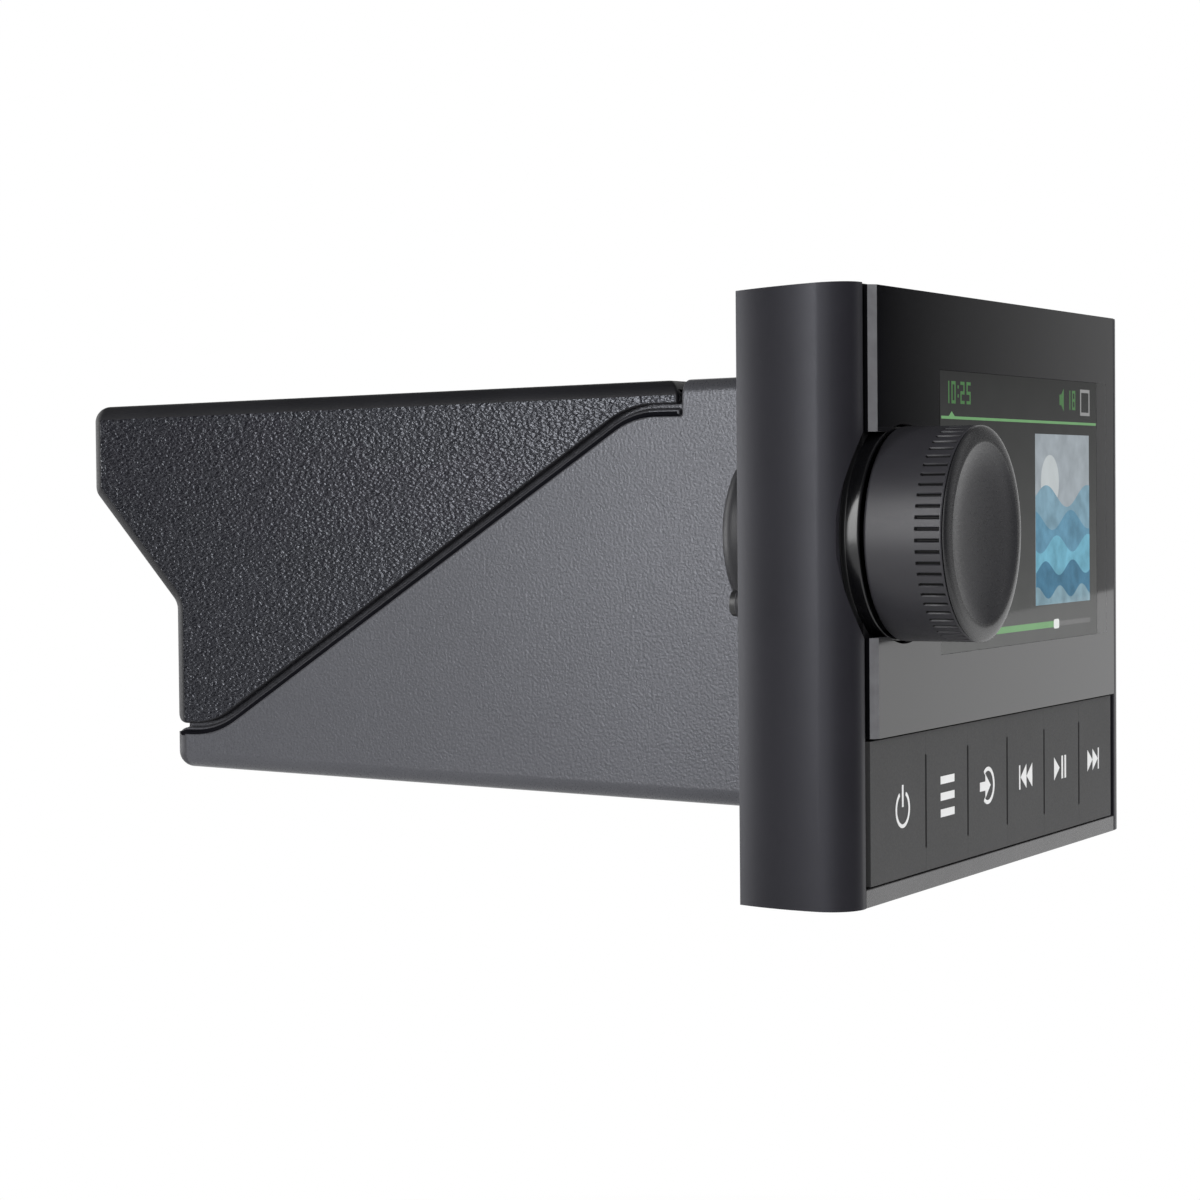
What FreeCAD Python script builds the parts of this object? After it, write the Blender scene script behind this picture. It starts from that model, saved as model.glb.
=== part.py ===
import FreeCAD, Part
import math
import operator
import os

import Sketcher

# Flush-mounted marine stereo. X runs right, Y runs back into the dashboard, Z runs up.
# The origin is the middle of the panel's rear face, where the panel meets the dashboard.

# Driving dimensions in millimetres, each a cell of the spreadsheet

SIZES = {
    # Panel
    "panel_width": 155.0,  # overall width over both side caps
    "panel_height": 112.5,  # overall height
    "panel_depth": 23.2,  # from the dashboard to the panel's front plane
    "top_fall": 0.9,  # how far the panel's top falls from front to back
    "cap_corner": 6.3,  # radius between a side cap's front and its flank
    "flank_radius": 44.0,  # radius of the bowed flank of a side cap
    "cap_front": 7.2,  # width of a side cap seen from the front
    "valley_width": 2.3,  # dark gap between a side cap and the glass
    "valley_depth": 3.5,  # depth of that gap
    "cut_past": 1.0,  # how far a cut runs past the faces it opens
    "fit_gap": 0.2,  # gap between pieces that are pushed together
    "wall": 2.0,  # wall of the moulded bezel
    "lip_height": 3.3,  # bezel lip below the keys

    # Cover glass and display
    "glass_thickness": 2.0,  # cover glass
    "glass_proud": 1.3,  # how far the glass stands in front of the panel plane
    "glass_height": 81.8,  # cover glass
    "glass_top_gap": 0.25,  # bezel edge left above the glass
    "tape_thickness": 0.3,  # adhesive behind the glass
    "tape_inset": 0.8,  # margin of the adhesive inside the glass edge
    "display_margin": 3.5,  # from the glass's right edge to the display module
    "display_z": 14.7,  # middle of the display module
    "display_height": 63.0,  # display module
    "display_thickness": 2.4,  # display module
    "display_gap": 0.3,  # gap round the display in its window
    "backlight_depth": 4.5,  # metal tray behind the display
    "tray_wall": 0.8,  # sheet of the backlight tray

    # Keys
    "key_top_gap": 0.5,  # gap between the glass and the keys
    "key_bottom_gap": 0.35,  # gap between the keys and the lip
    "key_first": 27.0,  # width of the first key
    "key_last": 21.2,  # width of the last key
    "key_seam": 0.1,  # gap between two keys
    "key_thickness": 2.8,  # key cap
    "key_room": 0.8,  # room behind a key cap
    "key_travel": 0.6,  # travel of a key
    "key_wall": 2.0,  # wall behind the keys
    "post_radius": 2.0,  # post behind a key
    "post_margin": 0.05,  # post to plunger when the key is down
    "post_clearance": 0.3,  # gap round a post
    "post_z": -39.4,  # height of the posts and switches
    "groove_length": 18.0,  # groove between two keys
    "groove_width": 0.9,  # groove between two keys
    "mat_thickness": 1.0,  # silicone sheet behind the key wall
    "mat_gap": 0.6,  # room between the sheet and the plungers
    "switch_side": 6.0,  # tact switch body
    "switch_height": 3.2,  # tact switch body
    "plunger_height": 0.4,  # tact switch plunger
    "plunger_radius": 1.75,  # tact switch plunger

    # Front board
    "board_thickness": 1.6,  # every circuit board
    "front_board_gap": 17.8,  # from the knob axis to the front board beside it
    "front_board_step": -18.0,  # top of the front board below the encoder
    "front_board_margin": 0.7,  # from the bezel's inner side to the front board
    "front_board_half": 47.0,  # half height of the front board
    "front_screw_margin": 2.5,  # from the front board's edges to its screws
    "front_screw_drop": 6.2,  # from the display's top to the upper screw of its board

    # Knob and encoder
    "knob_inset": 23.7,  # from the panel's left side to the knob axis
    "knob_z": 11.0,  # knob axis
    "knob_radius": 19.7,  # knob sleeve
    "knob_edge": 0.5,  # chamfer at the sleeve's rear
    "knob_gap": 0.6,  # gap between the knob and the glass plane
    "knob_length": 15.2,  # knob from rear edge to front rim
    "knob_push": 0.5,  # travel of the knob when pressed
    "cap_rim": 0.8,  # thickness of the knob cap's rim
    "rim_groove": 0.3,  # groove between sleeve and cap
    "rim_chamfer": 0.9,  # chamfer of the cap's rim
    "dish_margin": 2.7,  # from the knob's flank to its dished face
    "dish_depth": 0.5,  # dished face of the knob cap
    "sleeve_wall": 2.5,  # sleeve wall round the cap's spigot
    "spigot_depth": 1.6,  # spigot of the cap in the sleeve
    "notch_count": 60,  # grip notches round the sleeve
    "notch_length": 4.8,  # grip notch
    "notch_width": 0.55,  # grip notch
    "notch_depth": 0.45,  # grip notch
    "notch_margin": 0.3,  # notch to the sleeve's front edge
    "hub_cavity_radius": 9.0,  # hollow at the rear of the sleeve
    "hub_cavity_depth": 5.9,  # hollow at the rear of the sleeve
    "recess_margin": 1.6,  # from the gloss ring to the recess wall
    "recess_depth": 2.5,  # recess floor behind the panel's front plane
    "ring_gap": 0.6,  # from the knob's flank to the gloss ring
    "ring_width": 0.9,  # gloss ring round the knob
    "ring_clearance": 0.3,  # gap round the gloss ring
    "ring_edge": 0.25,  # chamfer of the gloss ring
    "seat_wall": 2.5,  # wall that carries the encoder
    "shaft_radius": 3.0,  # encoder shaft
    "shaft_clearance": 0.05,  # running fit of the shaft
    "bush_radius": 3.5,  # threaded bush
    "bush_length": 6.8,  # threaded bush in front of the encoder
    "nut_radius": 5.5,  # hexagon nut over its corners
    "nut_height": 2.0,  # hexagon nut
    "encoder_side": 13.0,  # encoder housing block
    "encoder_depth": 6.6,  # encoder housing block
    "encoder_wall": 1.0,  # front and rear wall of the encoder block
    "rotor_radius": 4.9,  # encoder rotor
    "rotor_clearance": 0.3,  # gap round the rotor
    "encoder_board_radius": 11.5,  # small round board
    "plug_width": 10.0,  # plug on the round board
    "plug_height": 6.0,  # plug on the round board
    "plug_depth": 7.0,  # plug on the round board

    # Round housing behind the knob
    "can_radius": 16.5,  # round housing behind the knob
    "can_depth": 5.9,  # round housing behind the panel
    "can_edge": 3.0,  # rounding of the round housing
    "can_wall": 1.6,  # round housing
    "flange_width": 1.5,  # flange of the round housing
    "flange_thickness": 1.2,  # flange of the round housing
    "ear_offset": 2.6,  # from the flange's edge to a screw ear's middle
    "ear_angle": 217.0,  # direction of the lower ear in degrees
    "ear_radius": 3.0,  # screw ear
    "seal_width": 1.2,  # seal under the flange
    "seal_depth": 1.0,  # seal under the flange
    "frame_hole_step": 0.4,  # from the housing's bore to the frame's hole behind the knob

    # Mounting frame and gasket
    "frame_thickness": 3.6,  # mounting frame
    "frame_window_left": -30.0,  # window in the mounting frame
    "frame_window_right": 48.0,  # window in the mounting frame
    "frame_window_half_height": 30.0,  # window in the mounting frame
    "mount_hole_radius": 1.7,  # dashboard screw holes
    "mount_inset_x": 6.5,  # from the panel's side to a dashboard screw
    "mount_inset_z": 10.25,  # from the panel's top to a dashboard screw
    "mount_pocket": 8.4,  # pocket for a dashboard screw's head
    "mount_pocket_depth": 13.4,  # pocket for a dashboard screw's head
    "skin": 0.5,  # thin skirt of a side cap beside the frame
    "gasket_depth": 1.2,  # foam gasket let into the frame
    "gasket_margin": 2.5,  # from the dashboard screw holes to the foam gasket
    "gasket_inset": 1.35,  # from the bezel's roof to the foam gasket
    "gasket_gap": 0.6,  # gasket to the chassis

    # Screws
    "bezel_screw_inset": 3.2,  # from the bezel's inner side to the frame's screws
    "bezel_screw_drop": 6.25,  # from the panel's top to the frame's screws
    "boss_radius": 2.6,  # screw bosses of the bezel
    "small_boss_radius": 2.2,  # screw bosses for the front board
    "thread_gap": 0.05,  # gap between a screw and the hole it is driven into
    "screw_radius": 1.25,  # screw shank
    "thread_grip": 3.6,  # length of thread that holds a screw
    "thread_room": 1.0,  # hole left below a screw's tip
    "screw_hole": 1.5,  # clearance hole for a screw
    "head_radius": 2.4,  # screw head
    "head_height": 1.3,  # screw head
    "hex_radius": 1.2,  # hexagon socket of a screw
    "hex_depth": 0.8,  # hexagon socket of a screw

    # Chassis and rear cover
    "chassis_width": 120.0,  # chassis and rear cover
    "chassis_top": 40.6,  # chassis top at the panel
    "chassis_top_rear": 37.9,  # cover top at the rear
    "chassis_base": 40.3,  # chassis floor below the axis at the panel
    "chassis_base_rear": 36.6,  # chassis floor below the axis at the rear
    "overhang_depth": 20.3,  # how far the overhang stands behind the lower rear face
    "lower_depth": 135.5,  # rear face below the overhang
    "overhang_height": 17.9,  # height of the overhang's rear face
    "slope_height": 23.0,  # height of the slope under the overhang
    "chassis_wall": 2.2,  # chassis
    "cover_wall": 2.0,  # rear cover
    "edge_radius": 3.3,  # rounded long edges
    "split_gap": 0.9,  # groove between chassis and cover
    "ledge_height": 1.25,  # smooth step of the chassis below the split
    "ledge_recess": 0.9,  # smooth step of the chassis below the split
    "split_y": 18.45,  # front end of the cover
    "split_drop": 5.45,  # from the chassis top to the split's upper level
    "split_rise": 12.3,  # from the chassis floor to the split's lower level
    "bend_front": 28.9,  # where the split turns down
    "bend_rear_gap": 10.1,  # from where the split turns level to the rear face
    "bend_radius": 17.0,  # rounding of the split's bends
    "lap_width": 4.0,  # strip inside the chassis below the split
    "lap_reach": 2.2,  # how far that strip reaches up inside the cover
    "lap_thickness": 1.6,  # overlap inside the walls
    "corner_post": 7.0,  # screw posts in the chassis corners
    "post_depth": 10.0,  # screw posts in the chassis corners
    "tongue_width": 6.0,  # tongues of the cover for the rear screws
    "tongue_x": 52.6,  # middle of a tongue
    "tongue_grip": 3.6,  # how far a tongue reaches up the cover's wall

    # Main board and amplifier
    "board_gap": 1.7,  # from the chassis strip to the main board
    "board_front_gap": 2.0,  # from the screw posts to the main board
    "board_rear_gap": 0.6,  # from the cover's tongues to the main board
    "board_lift": 13.3,  # main board above the chassis floor
    "screw_inset": 3.5,  # from a board's side to its screws
    "board_screw_inset": 8.0,  # from the main board's ends to its screws
    "board_boss_radius": 3.2,  # bosses under the boards
    "amp_margin": 6.0,  # how much narrower the amplifier board is on each side
    "amp_front": 40.0,  # amplifier board
    "amp_rear": 148.0,  # amplifier board
    "amp_drop": 18.6,  # from the chassis top to the amplifier board's underside
    "amp_screw_inset": 10.0,  # from the amplifier board's ends to its screws
    "chip_height": 3.5,  # amplifier chips
    "chip_x": 18.0,  # amplifier chips
    "chip_y": 100.0,  # amplifier chips
    "chip_width": 20.0,  # amplifier chips
    "chip_depth": 16.0,  # amplifier chips
    "spreader_width": 64.0,  # heat spreader over the chips
    "spreader_depth": 28.0,  # heat spreader over the chips

    # Rear sockets
    "socket_gap": 0.3,  # gap round a socket in the rear wall
    "socket_proud": 1.5,  # how far a socket stands out of the rear wall
    "pin_radius": 0.5,  # contact pins
    "ethernet_x": -9.0,  # network cable socket
    "ethernet_width": 16.0,  # network cable socket
    "ethernet_height": 13.5,  # network cable socket
    "ethernet_depth": 20.0,  # network cable socket
    "ethernet_mouth_width": 11.8,  # mouth of that socket
    "ethernet_mouth_height": 8.4,  # mouth of that socket
    "ethernet_mouth_depth": 13.0,  # mouth of that socket
    "usb_x": 8.3,  # flat data socket
    "usb_width": 14.6,  # flat data socket
    "usb_height": 7.2,  # flat data socket
    "usb_depth": 18.0,  # flat data socket
    "usb_mouth_width": 12.6,  # mouth of that socket
    "usb_mouth_height": 5.2,  # mouth of that socket
    "usb_mouth_depth": 12.0,  # mouth of that socket
    "usb_tongue_width": 11.2,  # tongue in that mouth
    "usb_tongue_height": 1.8,  # tongue in that mouth
    "usb_tongue_gap": 2.0,  # tongue to the mouth's opening
    "power_x": 32.0,  # power and loudspeaker socket
    "power_width": 28.0,  # power and loudspeaker socket
    "power_height": 13.2,  # power and loudspeaker socket
    "power_depth": 18.0,  # power and loudspeaker socket
    "power_mouth_width": 25.0,  # mouth of that socket
    "power_mouth_height": 10.2,  # mouth of that socket
    "power_mouth_depth": 12.0,  # mouth of that socket
    "pin_pitch": 3.0,  # power pins
    "pin_columns": 8,  # power pins in each of two rows
    "pin_rows": 4.8,  # distance of the two rows
    "pin_length": 6.5,  # power pins
    "preout_first": -11.6,  # first phono socket
    "preout_pitch": 10.4,  # phono sockets
    "preout_count": 4,  # phono sockets
    "preout_radius": 4.0,  # phono sockets
    "preout_bore": 1.5,  # phono sockets
    "preout_clearance": 1.2,  # phono sockets above the network cable socket
    "preout_proud": 8.5,  # phono sockets behind the rear face
    "preout_mouth_depth": 10.0,  # phono sockets
    "preout_block_depth": 10.0,  # block that carries the phono sockets
    "preout_block_margin": 1.4,  # block beside the phono sockets
    "preout_block_gap": 3.0,  # block to the network cable socket
    "network_x": -27.0,  # round screw-in socket
    "network_height": 10.0,  # its axis above the main board
    "network_radius": 6.6,  # round screw-in socket
    "network_wall": 1.6,  # round screw-in socket
    "network_inside": 14.0,  # length inside the case
    "network_proud": 3.0,  # length behind the rear face
    "network_mouth_depth": 9.0,  # round screw-in socket
    "network_flange": 1.9,  # flange round the socket
    "network_flange_depth": 1.5,  # flange round the socket
    "network_foot": 8.0,  # foot on the main board
    "network_pin_ring": 2.6,  # radius of its pin circle
    "network_pin_length": 5.0,  # its pins
    "antenna_x": -43.0,  # antenna socket
    "antenna_height": 10.0,  # its axis above the main board
    "antenna_radius": 5.0,  # antenna socket
    "antenna_bore": 1.6,  # antenna socket
    "antenna_inside": 16.0,  # length inside the case
    "antenna_proud": 5.0,  # length behind the rear face
    "antenna_collar": 2.0,  # its thicker part behind the rear face
    "antenna_step": 0.8,  # step at the collar
    "antenna_mouth_depth": 12.0,  # antenna socket
    "antenna_foot": 10.0,  # foot on the main board
    "vent_x": -50.2,  # breather vent
    "vent_height": 17.5,  # its axis above the main board
    "vent_radius": 3.6,  # breather vent
    "vent_flange": 1.0,  # breather vent
    "vent_flange_depth": 0.8,  # breather vent

    # Parts on the main board
    "shield_x": 3.0,  # shield over the processor
    "shield_y": 57.0,  # shield over the processor
    "shield_width": 34.0,  # shield over the processor
    "shield_depth": 30.0,  # shield over the processor
    "shield_height": 3.6,  # shield over the processor
    "shield_sheet": 0.4,  # shield over the processor
    "module_x": 39.0,  # wireless module
    "module_y": 42.0,  # wireless module
    "module_width": 18.0,  # wireless module
    "module_depth": 24.0,  # wireless module
    "module_height": 2.4,  # wireless module
    "tuner_x": -39.0,  # tuner can
    "tuner_y": 104.0,  # tuner can
    "tuner_width": 26.0,  # tuner can
    "tuner_depth": 24.0,  # tuner can
    "tuner_height": 9.0,  # tuner can
    "capacitor_first": -22.0,  # first capacitor
    "capacitor_pitch": 16.0,  # capacitors
    "capacitor_count": 4,  # capacitors
    "capacitor_y": 84.0,  # capacitors
    "capacitor_radius": 7.0,  # capacitors
    "capacitor_height": 24.0,  # capacitors
    "coil_x": 43.0,  # choke coils
    "coil_first": 70.0,  # choke coils
    "coil_pitch": 22.0,  # choke coils
    "coil_radius": 6.0,  # choke coils
    "coil_thickness": 3.2,  # radius of a coil's winding
    "riser_x": -44.0,  # board between the two boards
    "riser_gap": 3.6,  # from the amplifier screw to that board
    "riser_depth": 26.0,  # board between the two boards

    # Flat cable
    "ribbon_width": 24.0,  # flat cable
    "ribbon_sheet": 0.4,  # flat cable
    "ribbon_level": -8.0,  # where the flat cable leaves the front board
    "ribbon_drop": 14.0,  # where the flat cable turns down
    "ribbon_landing": 20.0,  # where the flat cable meets the main board
    "ribbon_socket_width": 30.0,  # sockets of the flat cable
    "ribbon_socket_height": 4.0,  # sockets of the flat cable
    "ribbon_socket_depth": 2.4,  # sockets of the flat cable
}


class Size:
    """A length that keeps its number together with its spreadsheet expression."""

    def __init__(self, number, text):
        self.number = number
        self.text = text

    def __add__(self, other):
        return combine(self, "+", other)

    def __radd__(self, other):
        return combine(other, "+", self)

    def __sub__(self, other):
        return combine(self, "-", other)

    def __rsub__(self, other):
        return combine(other, "-", self)

    def __mul__(self, other):
        return combine(self, "*", other)

    def __rmul__(self, other):
        return combine(other, "*", self)

    def __truediv__(self, other):
        return combine(self, "/", other)

    def __neg__(self):
        return Size(-self.number, f"(-{self.text})")


OPERATIONS = {"+": operator.add, "-": operator.sub, "*": operator.mul, "/": operator.truediv}


def as_size(length):
    if isinstance(length, Size):
        return length
    return Size(float(length), f"({float(length)})")


def combine(left, sign, right):
    left = as_size(left)
    right = as_size(right)
    number = OPERATIONS[sign](left.number, right.number)
    return Size(number, f"({left.text} {sign} {right.text})")


def root(length):
    return Size(math.sqrt(length.number), f"sqrt({length.text})")


def cosine(angle):
    return Size(math.cos(math.radians(angle.number)), f"cos({angle.text} * 1 deg)")


def sine(angle):
    return Size(math.sin(math.radians(angle.number)), f"sin({angle.text} * 1 deg)")


class Sizes:
    """Driving dimensions by name, each bound to its own spreadsheet cell."""


def make_sheet(doc):
    sheet = doc.addObject("Spreadsheet::Sheet", "Sizes")
    sizes = Sizes()
    for row, (name, value) in enumerate(SIZES.items(), 1):
        sheet.set(f"A{row}", name)
        sheet.set(f"B{row}", str(value))
        sheet.setAlias(f"B{row}", name)
        setattr(sizes, name, Size(float(value), f"Sizes.{name}"))
    doc.recompute()
    return sizes


doc = FreeCAD.newDocument("MarineStereo")
S = make_sheet(doc)
PIECES = []

# Planes and edges shared by several pieces

PANEL_FRONT = -S.panel_depth
PANEL_TOP = S.panel_height / 2
PANEL_SIDE = S.panel_width / 2
CAP_INNER = PANEL_SIDE - S.cap_front
CAP_FLANK = PANEL_FRONT + S.cap_corner
CAP_REAR = PANEL_SIDE - S.flank_radius + root(S.flank_radius * S.flank_radius - CAP_FLANK * CAP_FLANK)
GLASS_SIDE = CAP_INNER - S.valley_width
GLASS_FRONT = PANEL_FRONT - S.glass_proud
GLASS_BACK = GLASS_FRONT + S.glass_thickness
GLASS_TOP = PANEL_TOP - S.glass_top_gap
GLASS_LOW = GLASS_TOP - S.glass_height
VALLEY_FLOOR = PANEL_FRONT + S.valley_depth
BEZEL_SIDE = GLASS_SIDE + S.fit_gap
BEZEL_FRONT = GLASS_BACK + S.tape_thickness
BEZEL_INNER = BEZEL_FRONT + S.wall
ROOF = PANEL_TOP - S.wall - S.top_fall
FLOOR = -PANEL_TOP + S.wall
INNER_SIDE = BEZEL_SIDE - S.wall
FRAME_FRONT = -S.frame_thickness
FRAME_SIDE = CAP_REAR - S.skin - S.fit_gap
LIP_TOP = -PANEL_TOP + S.lip_height
KEY_TOP = GLASS_LOW - S.key_top_gap
KEY_LOW = LIP_TOP + S.key_bottom_gap
KEY_BACK = PANEL_FRONT + S.key_thickness
KEY_WALL_FRONT = KEY_BACK + S.key_room
KEY_WALL_BACK = KEY_WALL_FRONT + S.key_wall
MAT_BACK = KEY_WALL_BACK + S.mat_thickness
PLUNGER_TIP = MAT_BACK + S.mat_gap
FRONT_BOARD_FACE = PLUNGER_TIP + S.plunger_height + S.switch_height
FRONT_BOARD_BACK = FRONT_BOARD_FACE + S.board_thickness
KEY_PITCH = (2 * GLASS_SIDE - S.key_first - S.key_last) / 4
KEY_SEAMS = [-GLASS_SIDE + S.key_first + index * KEY_PITCH for index in range(5)]
KEY_CENTRES = [-GLASS_SIDE + S.key_first + (index - 0.5) * KEY_PITCH for index in range(6)]
KNOB_X = -PANEL_SIDE + S.knob_inset
RING_INNER = S.knob_radius + S.ring_gap
RING_OUTER = RING_INNER + S.ring_width
RECESS_RADIUS = RING_OUTER + S.recess_margin
DISPLAY_LEFT = KNOB_X + RECESS_RADIUS
DISPLAY_RIGHT = GLASS_SIDE - S.display_margin
DISPLAY_LOW = S.display_z - S.display_height / 2
DISPLAY_TOP = S.display_z + S.display_height / 2
DISPLAY_BACK = GLASS_BACK + S.display_thickness
RECESS_FLOOR = PANEL_FRONT + S.recess_depth
SEAT_BACK = RECESS_FLOOR + S.seat_wall
KNOB_BACK = GLASS_FRONT - S.knob_gap
KNOB_FRONT = KNOB_BACK - S.knob_length
SLEEVE_FRONT = KNOB_FRONT + S.cap_rim + S.rim_groove
ENCODER_BACK = SEAT_BACK + S.encoder_depth
ENCODER_BOARD_BACK = ENCODER_BACK + S.board_thickness
FLANGE_RADIUS = S.can_radius + S.flange_width
HOUSING_BORE = S.can_radius - S.can_wall
FRAME_HOLE = HOUSING_BORE - S.frame_hole_step
SEAL_INNER = FRAME_HOLE + (FLANGE_RADIUS - FRAME_HOLE - S.seal_width) / 2
FRONT_BOARD_LEFT = KNOB_X + S.front_board_gap
FRONT_BOARD_SIDE = INNER_SIDE - S.front_board_margin
PILOT = S.screw_radius + S.thread_gap
MOUNT_X = PANEL_SIDE - S.mount_inset_x
MOUNT_Z = PANEL_TOP - S.mount_inset_z
GASKET_X = MOUNT_X - S.mount_hole_radius - S.gasket_margin
GASKET_Z = ROOF - S.gasket_inset
BEZEL_SCREW_SEAT = -S.gasket_depth - S.head_height
CHASSIS_SIDE = S.chassis_width / 2
CHASSIS_INNER = CHASSIS_SIDE - S.chassis_wall
UPPER_DEPTH = S.lower_depth + S.overhang_depth
OVERHANG_Z = S.chassis_top_rear - S.overhang_height
SLOPE_Z = OVERHANG_Z - S.slope_height
SPLIT_HIGH = S.chassis_top - S.split_drop
SPLIT_LOW = -S.chassis_base + S.split_rise
BEND_REAR = S.lower_depth - S.bend_rear_gap
TONGUE_BACK = S.lower_depth - S.chassis_wall - S.fit_gap
TONGUE_FRONT = TONGUE_BACK - S.cover_wall
BOARD_HALF = CHASSIS_INNER - S.lap_thickness - S.board_gap
BOARD_FRONT = S.post_depth + S.board_front_gap
BOARD_REAR = TONGUE_FRONT - S.board_rear_gap
BOARD_TOP = -S.chassis_base + S.board_lift
BOARD_UNDER = BOARD_TOP - S.board_thickness
AMP_HALF = BOARD_HALF - S.amp_margin
AMP_UNDER = S.chassis_top - S.amp_drop
AMP_TOP = AMP_UNDER + S.board_thickness
AMP_SCREW_X = AMP_HALF - S.screw_inset
REAR_FACE = S.lower_depth + S.socket_proud


def top_at(depth, inset=0.0):
    """Height of the chassis top at a depth, or of a face that lies under it."""
    slope = (S.chassis_top - S.chassis_top_rear) / UPPER_DEPTH
    return S.chassis_top - slope * depth - inset


def base_at(depth, inset=0.0):
    """Height of the chassis floor at a depth, or of a face that lies above it."""
    slope = (S.chassis_base - S.chassis_base_rear) / S.lower_depth
    return slope * depth - S.chassis_base + inset


# Tools for sketches and features

def keep(piece, label):
    piece.Label = label
    PIECES.append(piece)
    return piece


def bind(thing, name, length):
    thing.setExpression(name, as_size(length).text)


def new_body(name, x=0.0, y=0.0, z=0.0):
    body = doc.addObject("PartDesign::Body", "Body_" + name)
    spot = [as_size(length) for length in (x, y, z)]
    body.Placement.Base = FreeCAD.Vector(*[length.number for length in spot])
    for axis, length in zip("xyz", spot):
        bind(body, "Placement.Base." + axis, length)
    return keep(body, name)


def origin_feature(body, role):
    for feature in body.Origin.OriginFeatures:
        if feature.Role == role:
            return feature
    raise ValueError("no origin feature " + role)


def place_point(sketch, index, end, u, v):
    """Hold one end of a sketch edge at bound coordinates."""
    for kind, length in (("DistanceX", u), ("DistanceY", v)):
        length = as_size(length)
        number = sketch.addConstraint(Sketcher.Constraint(kind, -1, 1, index, end, length.number))
        sketch.setExpression(f"Constraints[{number}]", length.text)


def arc_middle(start, end, radius, side):
    """Middle of an arc whose centre lies left (side 1) or right (side -1) of its chord."""
    chord = end - start
    half = chord.Length / 2
    rise = math.sqrt(max(radius * radius - half * half, 0.0))
    normal = FreeCAD.Vector(-chord.y, chord.x, 0) / chord.Length
    return start + chord / 2 + normal * (rise - radius) * side


def outline(*corners):
    """Closed outline. A corner (u, v, radius, side) starts an arc to the next corner."""
    def draw(sketch):
        spots = []
        for corner in corners:
            spots.append(FreeCAD.Vector(as_size(corner[0]).number, as_size(corner[1]).number, 0))
        edges = []
        for number, corner in enumerate(corners):
            start = spots[number]
            end = spots[(number + 1) % len(corners)]
            if len(corner) == 2:
                index = sketch.addGeometry(Part.LineSegment(start, end), False)
            else:
                middle = arc_middle(start, end, as_size(corner[2]).number, corner[3])
                index = sketch.addGeometry(Part.Arc(start, middle, end), False)
            first = sketch.getPoint(index, 1)
            starts_first = (first - start).Length < (first - end).Length
            edges.append((index, 1, 2) if starts_first else (index, 2, 1))
        for number, (index, head, tail) in enumerate(edges):
            following, next_head, _ = edges[(number + 1) % len(edges)]
            sketch.addConstraint(Sketcher.Constraint("Coincident", index, tail, following, next_head))
        for corner, (index, head, tail) in zip(corners, edges):
            place_point(sketch, index, head, corner[0], corner[1])
            if len(corner) > 2:
                radius = as_size(corner[2])
                number = sketch.addConstraint(Sketcher.Constraint("Radius", index, radius.number))
                sketch.setExpression(f"Constraints[{number}]", radius.text)
    return draw


def backwards(line):
    """The same corners in reverse order. An arc's radius moves to its other end."""
    turned = []
    for number in range(len(line) - 1, -1, -1):
        arc = ()
        if number > 0 and len(line[number - 1]) > 2:
            radius, side = line[number - 1][2:]
            arc = (radius, -side)
        turned.append(line[number][:2] + arc)
    return turned


def rectangle(left, right, low, high):
    return outline((left, low), (right, low), (right, high), (left, high))


def circle(u, v, radius):
    def draw(sketch):
        centre = FreeCAD.Vector(as_size(u).number, as_size(v).number, 0)
        length = as_size(radius)
        index = sketch.addGeometry(Part.Circle(centre, FreeCAD.Vector(0, 0, 1), length.number), False)
        place_point(sketch, index, 3, u, v)
        number = sketch.addConstraint(Sketcher.Constraint("Radius", index, length.number))
        sketch.setExpression(f"Constraints[{number}]", length.text)
    return draw


# Role of each origin plane and the sign of its normal along the axis it is named after
PLANES = {"z": ("XY_Plane", 1), "y": ("XZ_Plane", -1), "x": ("YZ_Plane", 1)}


def new_sketch(body, axis, level, shapes):
    role, sign = PLANES[axis]
    sketch = body.newObject("Sketcher::SketchObject", "Sketch")
    sketch.AttachmentSupport = (origin_feature(body, role), [""])
    sketch.MapMode = "FlatFace"
    height = as_size(level) * sign
    sketch.AttachmentOffset = FreeCAD.Placement(FreeCAD.Vector(0, 0, height.number), FreeCAD.Rotation())
    bind(sketch, "AttachmentOffset.Base.z", height)
    for draw in shapes:
        draw(sketch)
    return sketch


def add_feature(body, kind, axis, low, high, shapes):
    """Pad or pocket between two levels along an axis."""
    grows_up = (PLANES[axis][1] > 0) == (kind == "Pad")
    sketch = new_sketch(body, axis, low if grows_up else high, shapes)
    feature = body.newObject("PartDesign::" + kind, kind)
    feature.Profile = sketch
    length = as_size(high) - low
    feature.Length = length.number
    bind(feature, "Length", length)
    body.Tip = feature
    return feature


def pad(body, axis, low, high, *shapes):
    return add_feature(body, "Pad", axis, low, high, shapes)


def pocket(body, axis, low, high, *shapes):
    return add_feature(body, "Pocket", axis, low, high, shapes)


def turn(body, *corners):
    """Solid of revolution about the body's own Y axis. Corners are (radius, y)."""
    sketch = new_sketch(body, "z", 0.0, [outline(*corners)])
    feature = body.newObject("PartDesign::Revolution", "Revolution")
    feature.Profile = sketch
    feature.ReferenceAxis = (sketch, ["V_Axis"])
    feature.Angle = 360.0
    body.Tip = feature


def round_edges(body, radius, *tests):
    """Fillet every edge that one of the tests picks."""
    doc.recompute()
    base = body.Tip
    names = []
    for number, edge in enumerate(base.Shape.Edges, 1):
        if any(test(edge) for test in tests):
            names.append(f"Edge{number}")
    if not names:
        raise ValueError(body.Label + " has no edge to round")
    feature = body.newObject("PartDesign::Fillet", "Fillet")
    feature.Base = (base, names)
    feature.Radius = as_size(radius).number
    bind(feature, "Radius", radius)
    body.Tip = feature


def near(number, length, slack=0.05):
    return abs(number - as_size(length).number) < slack


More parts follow.
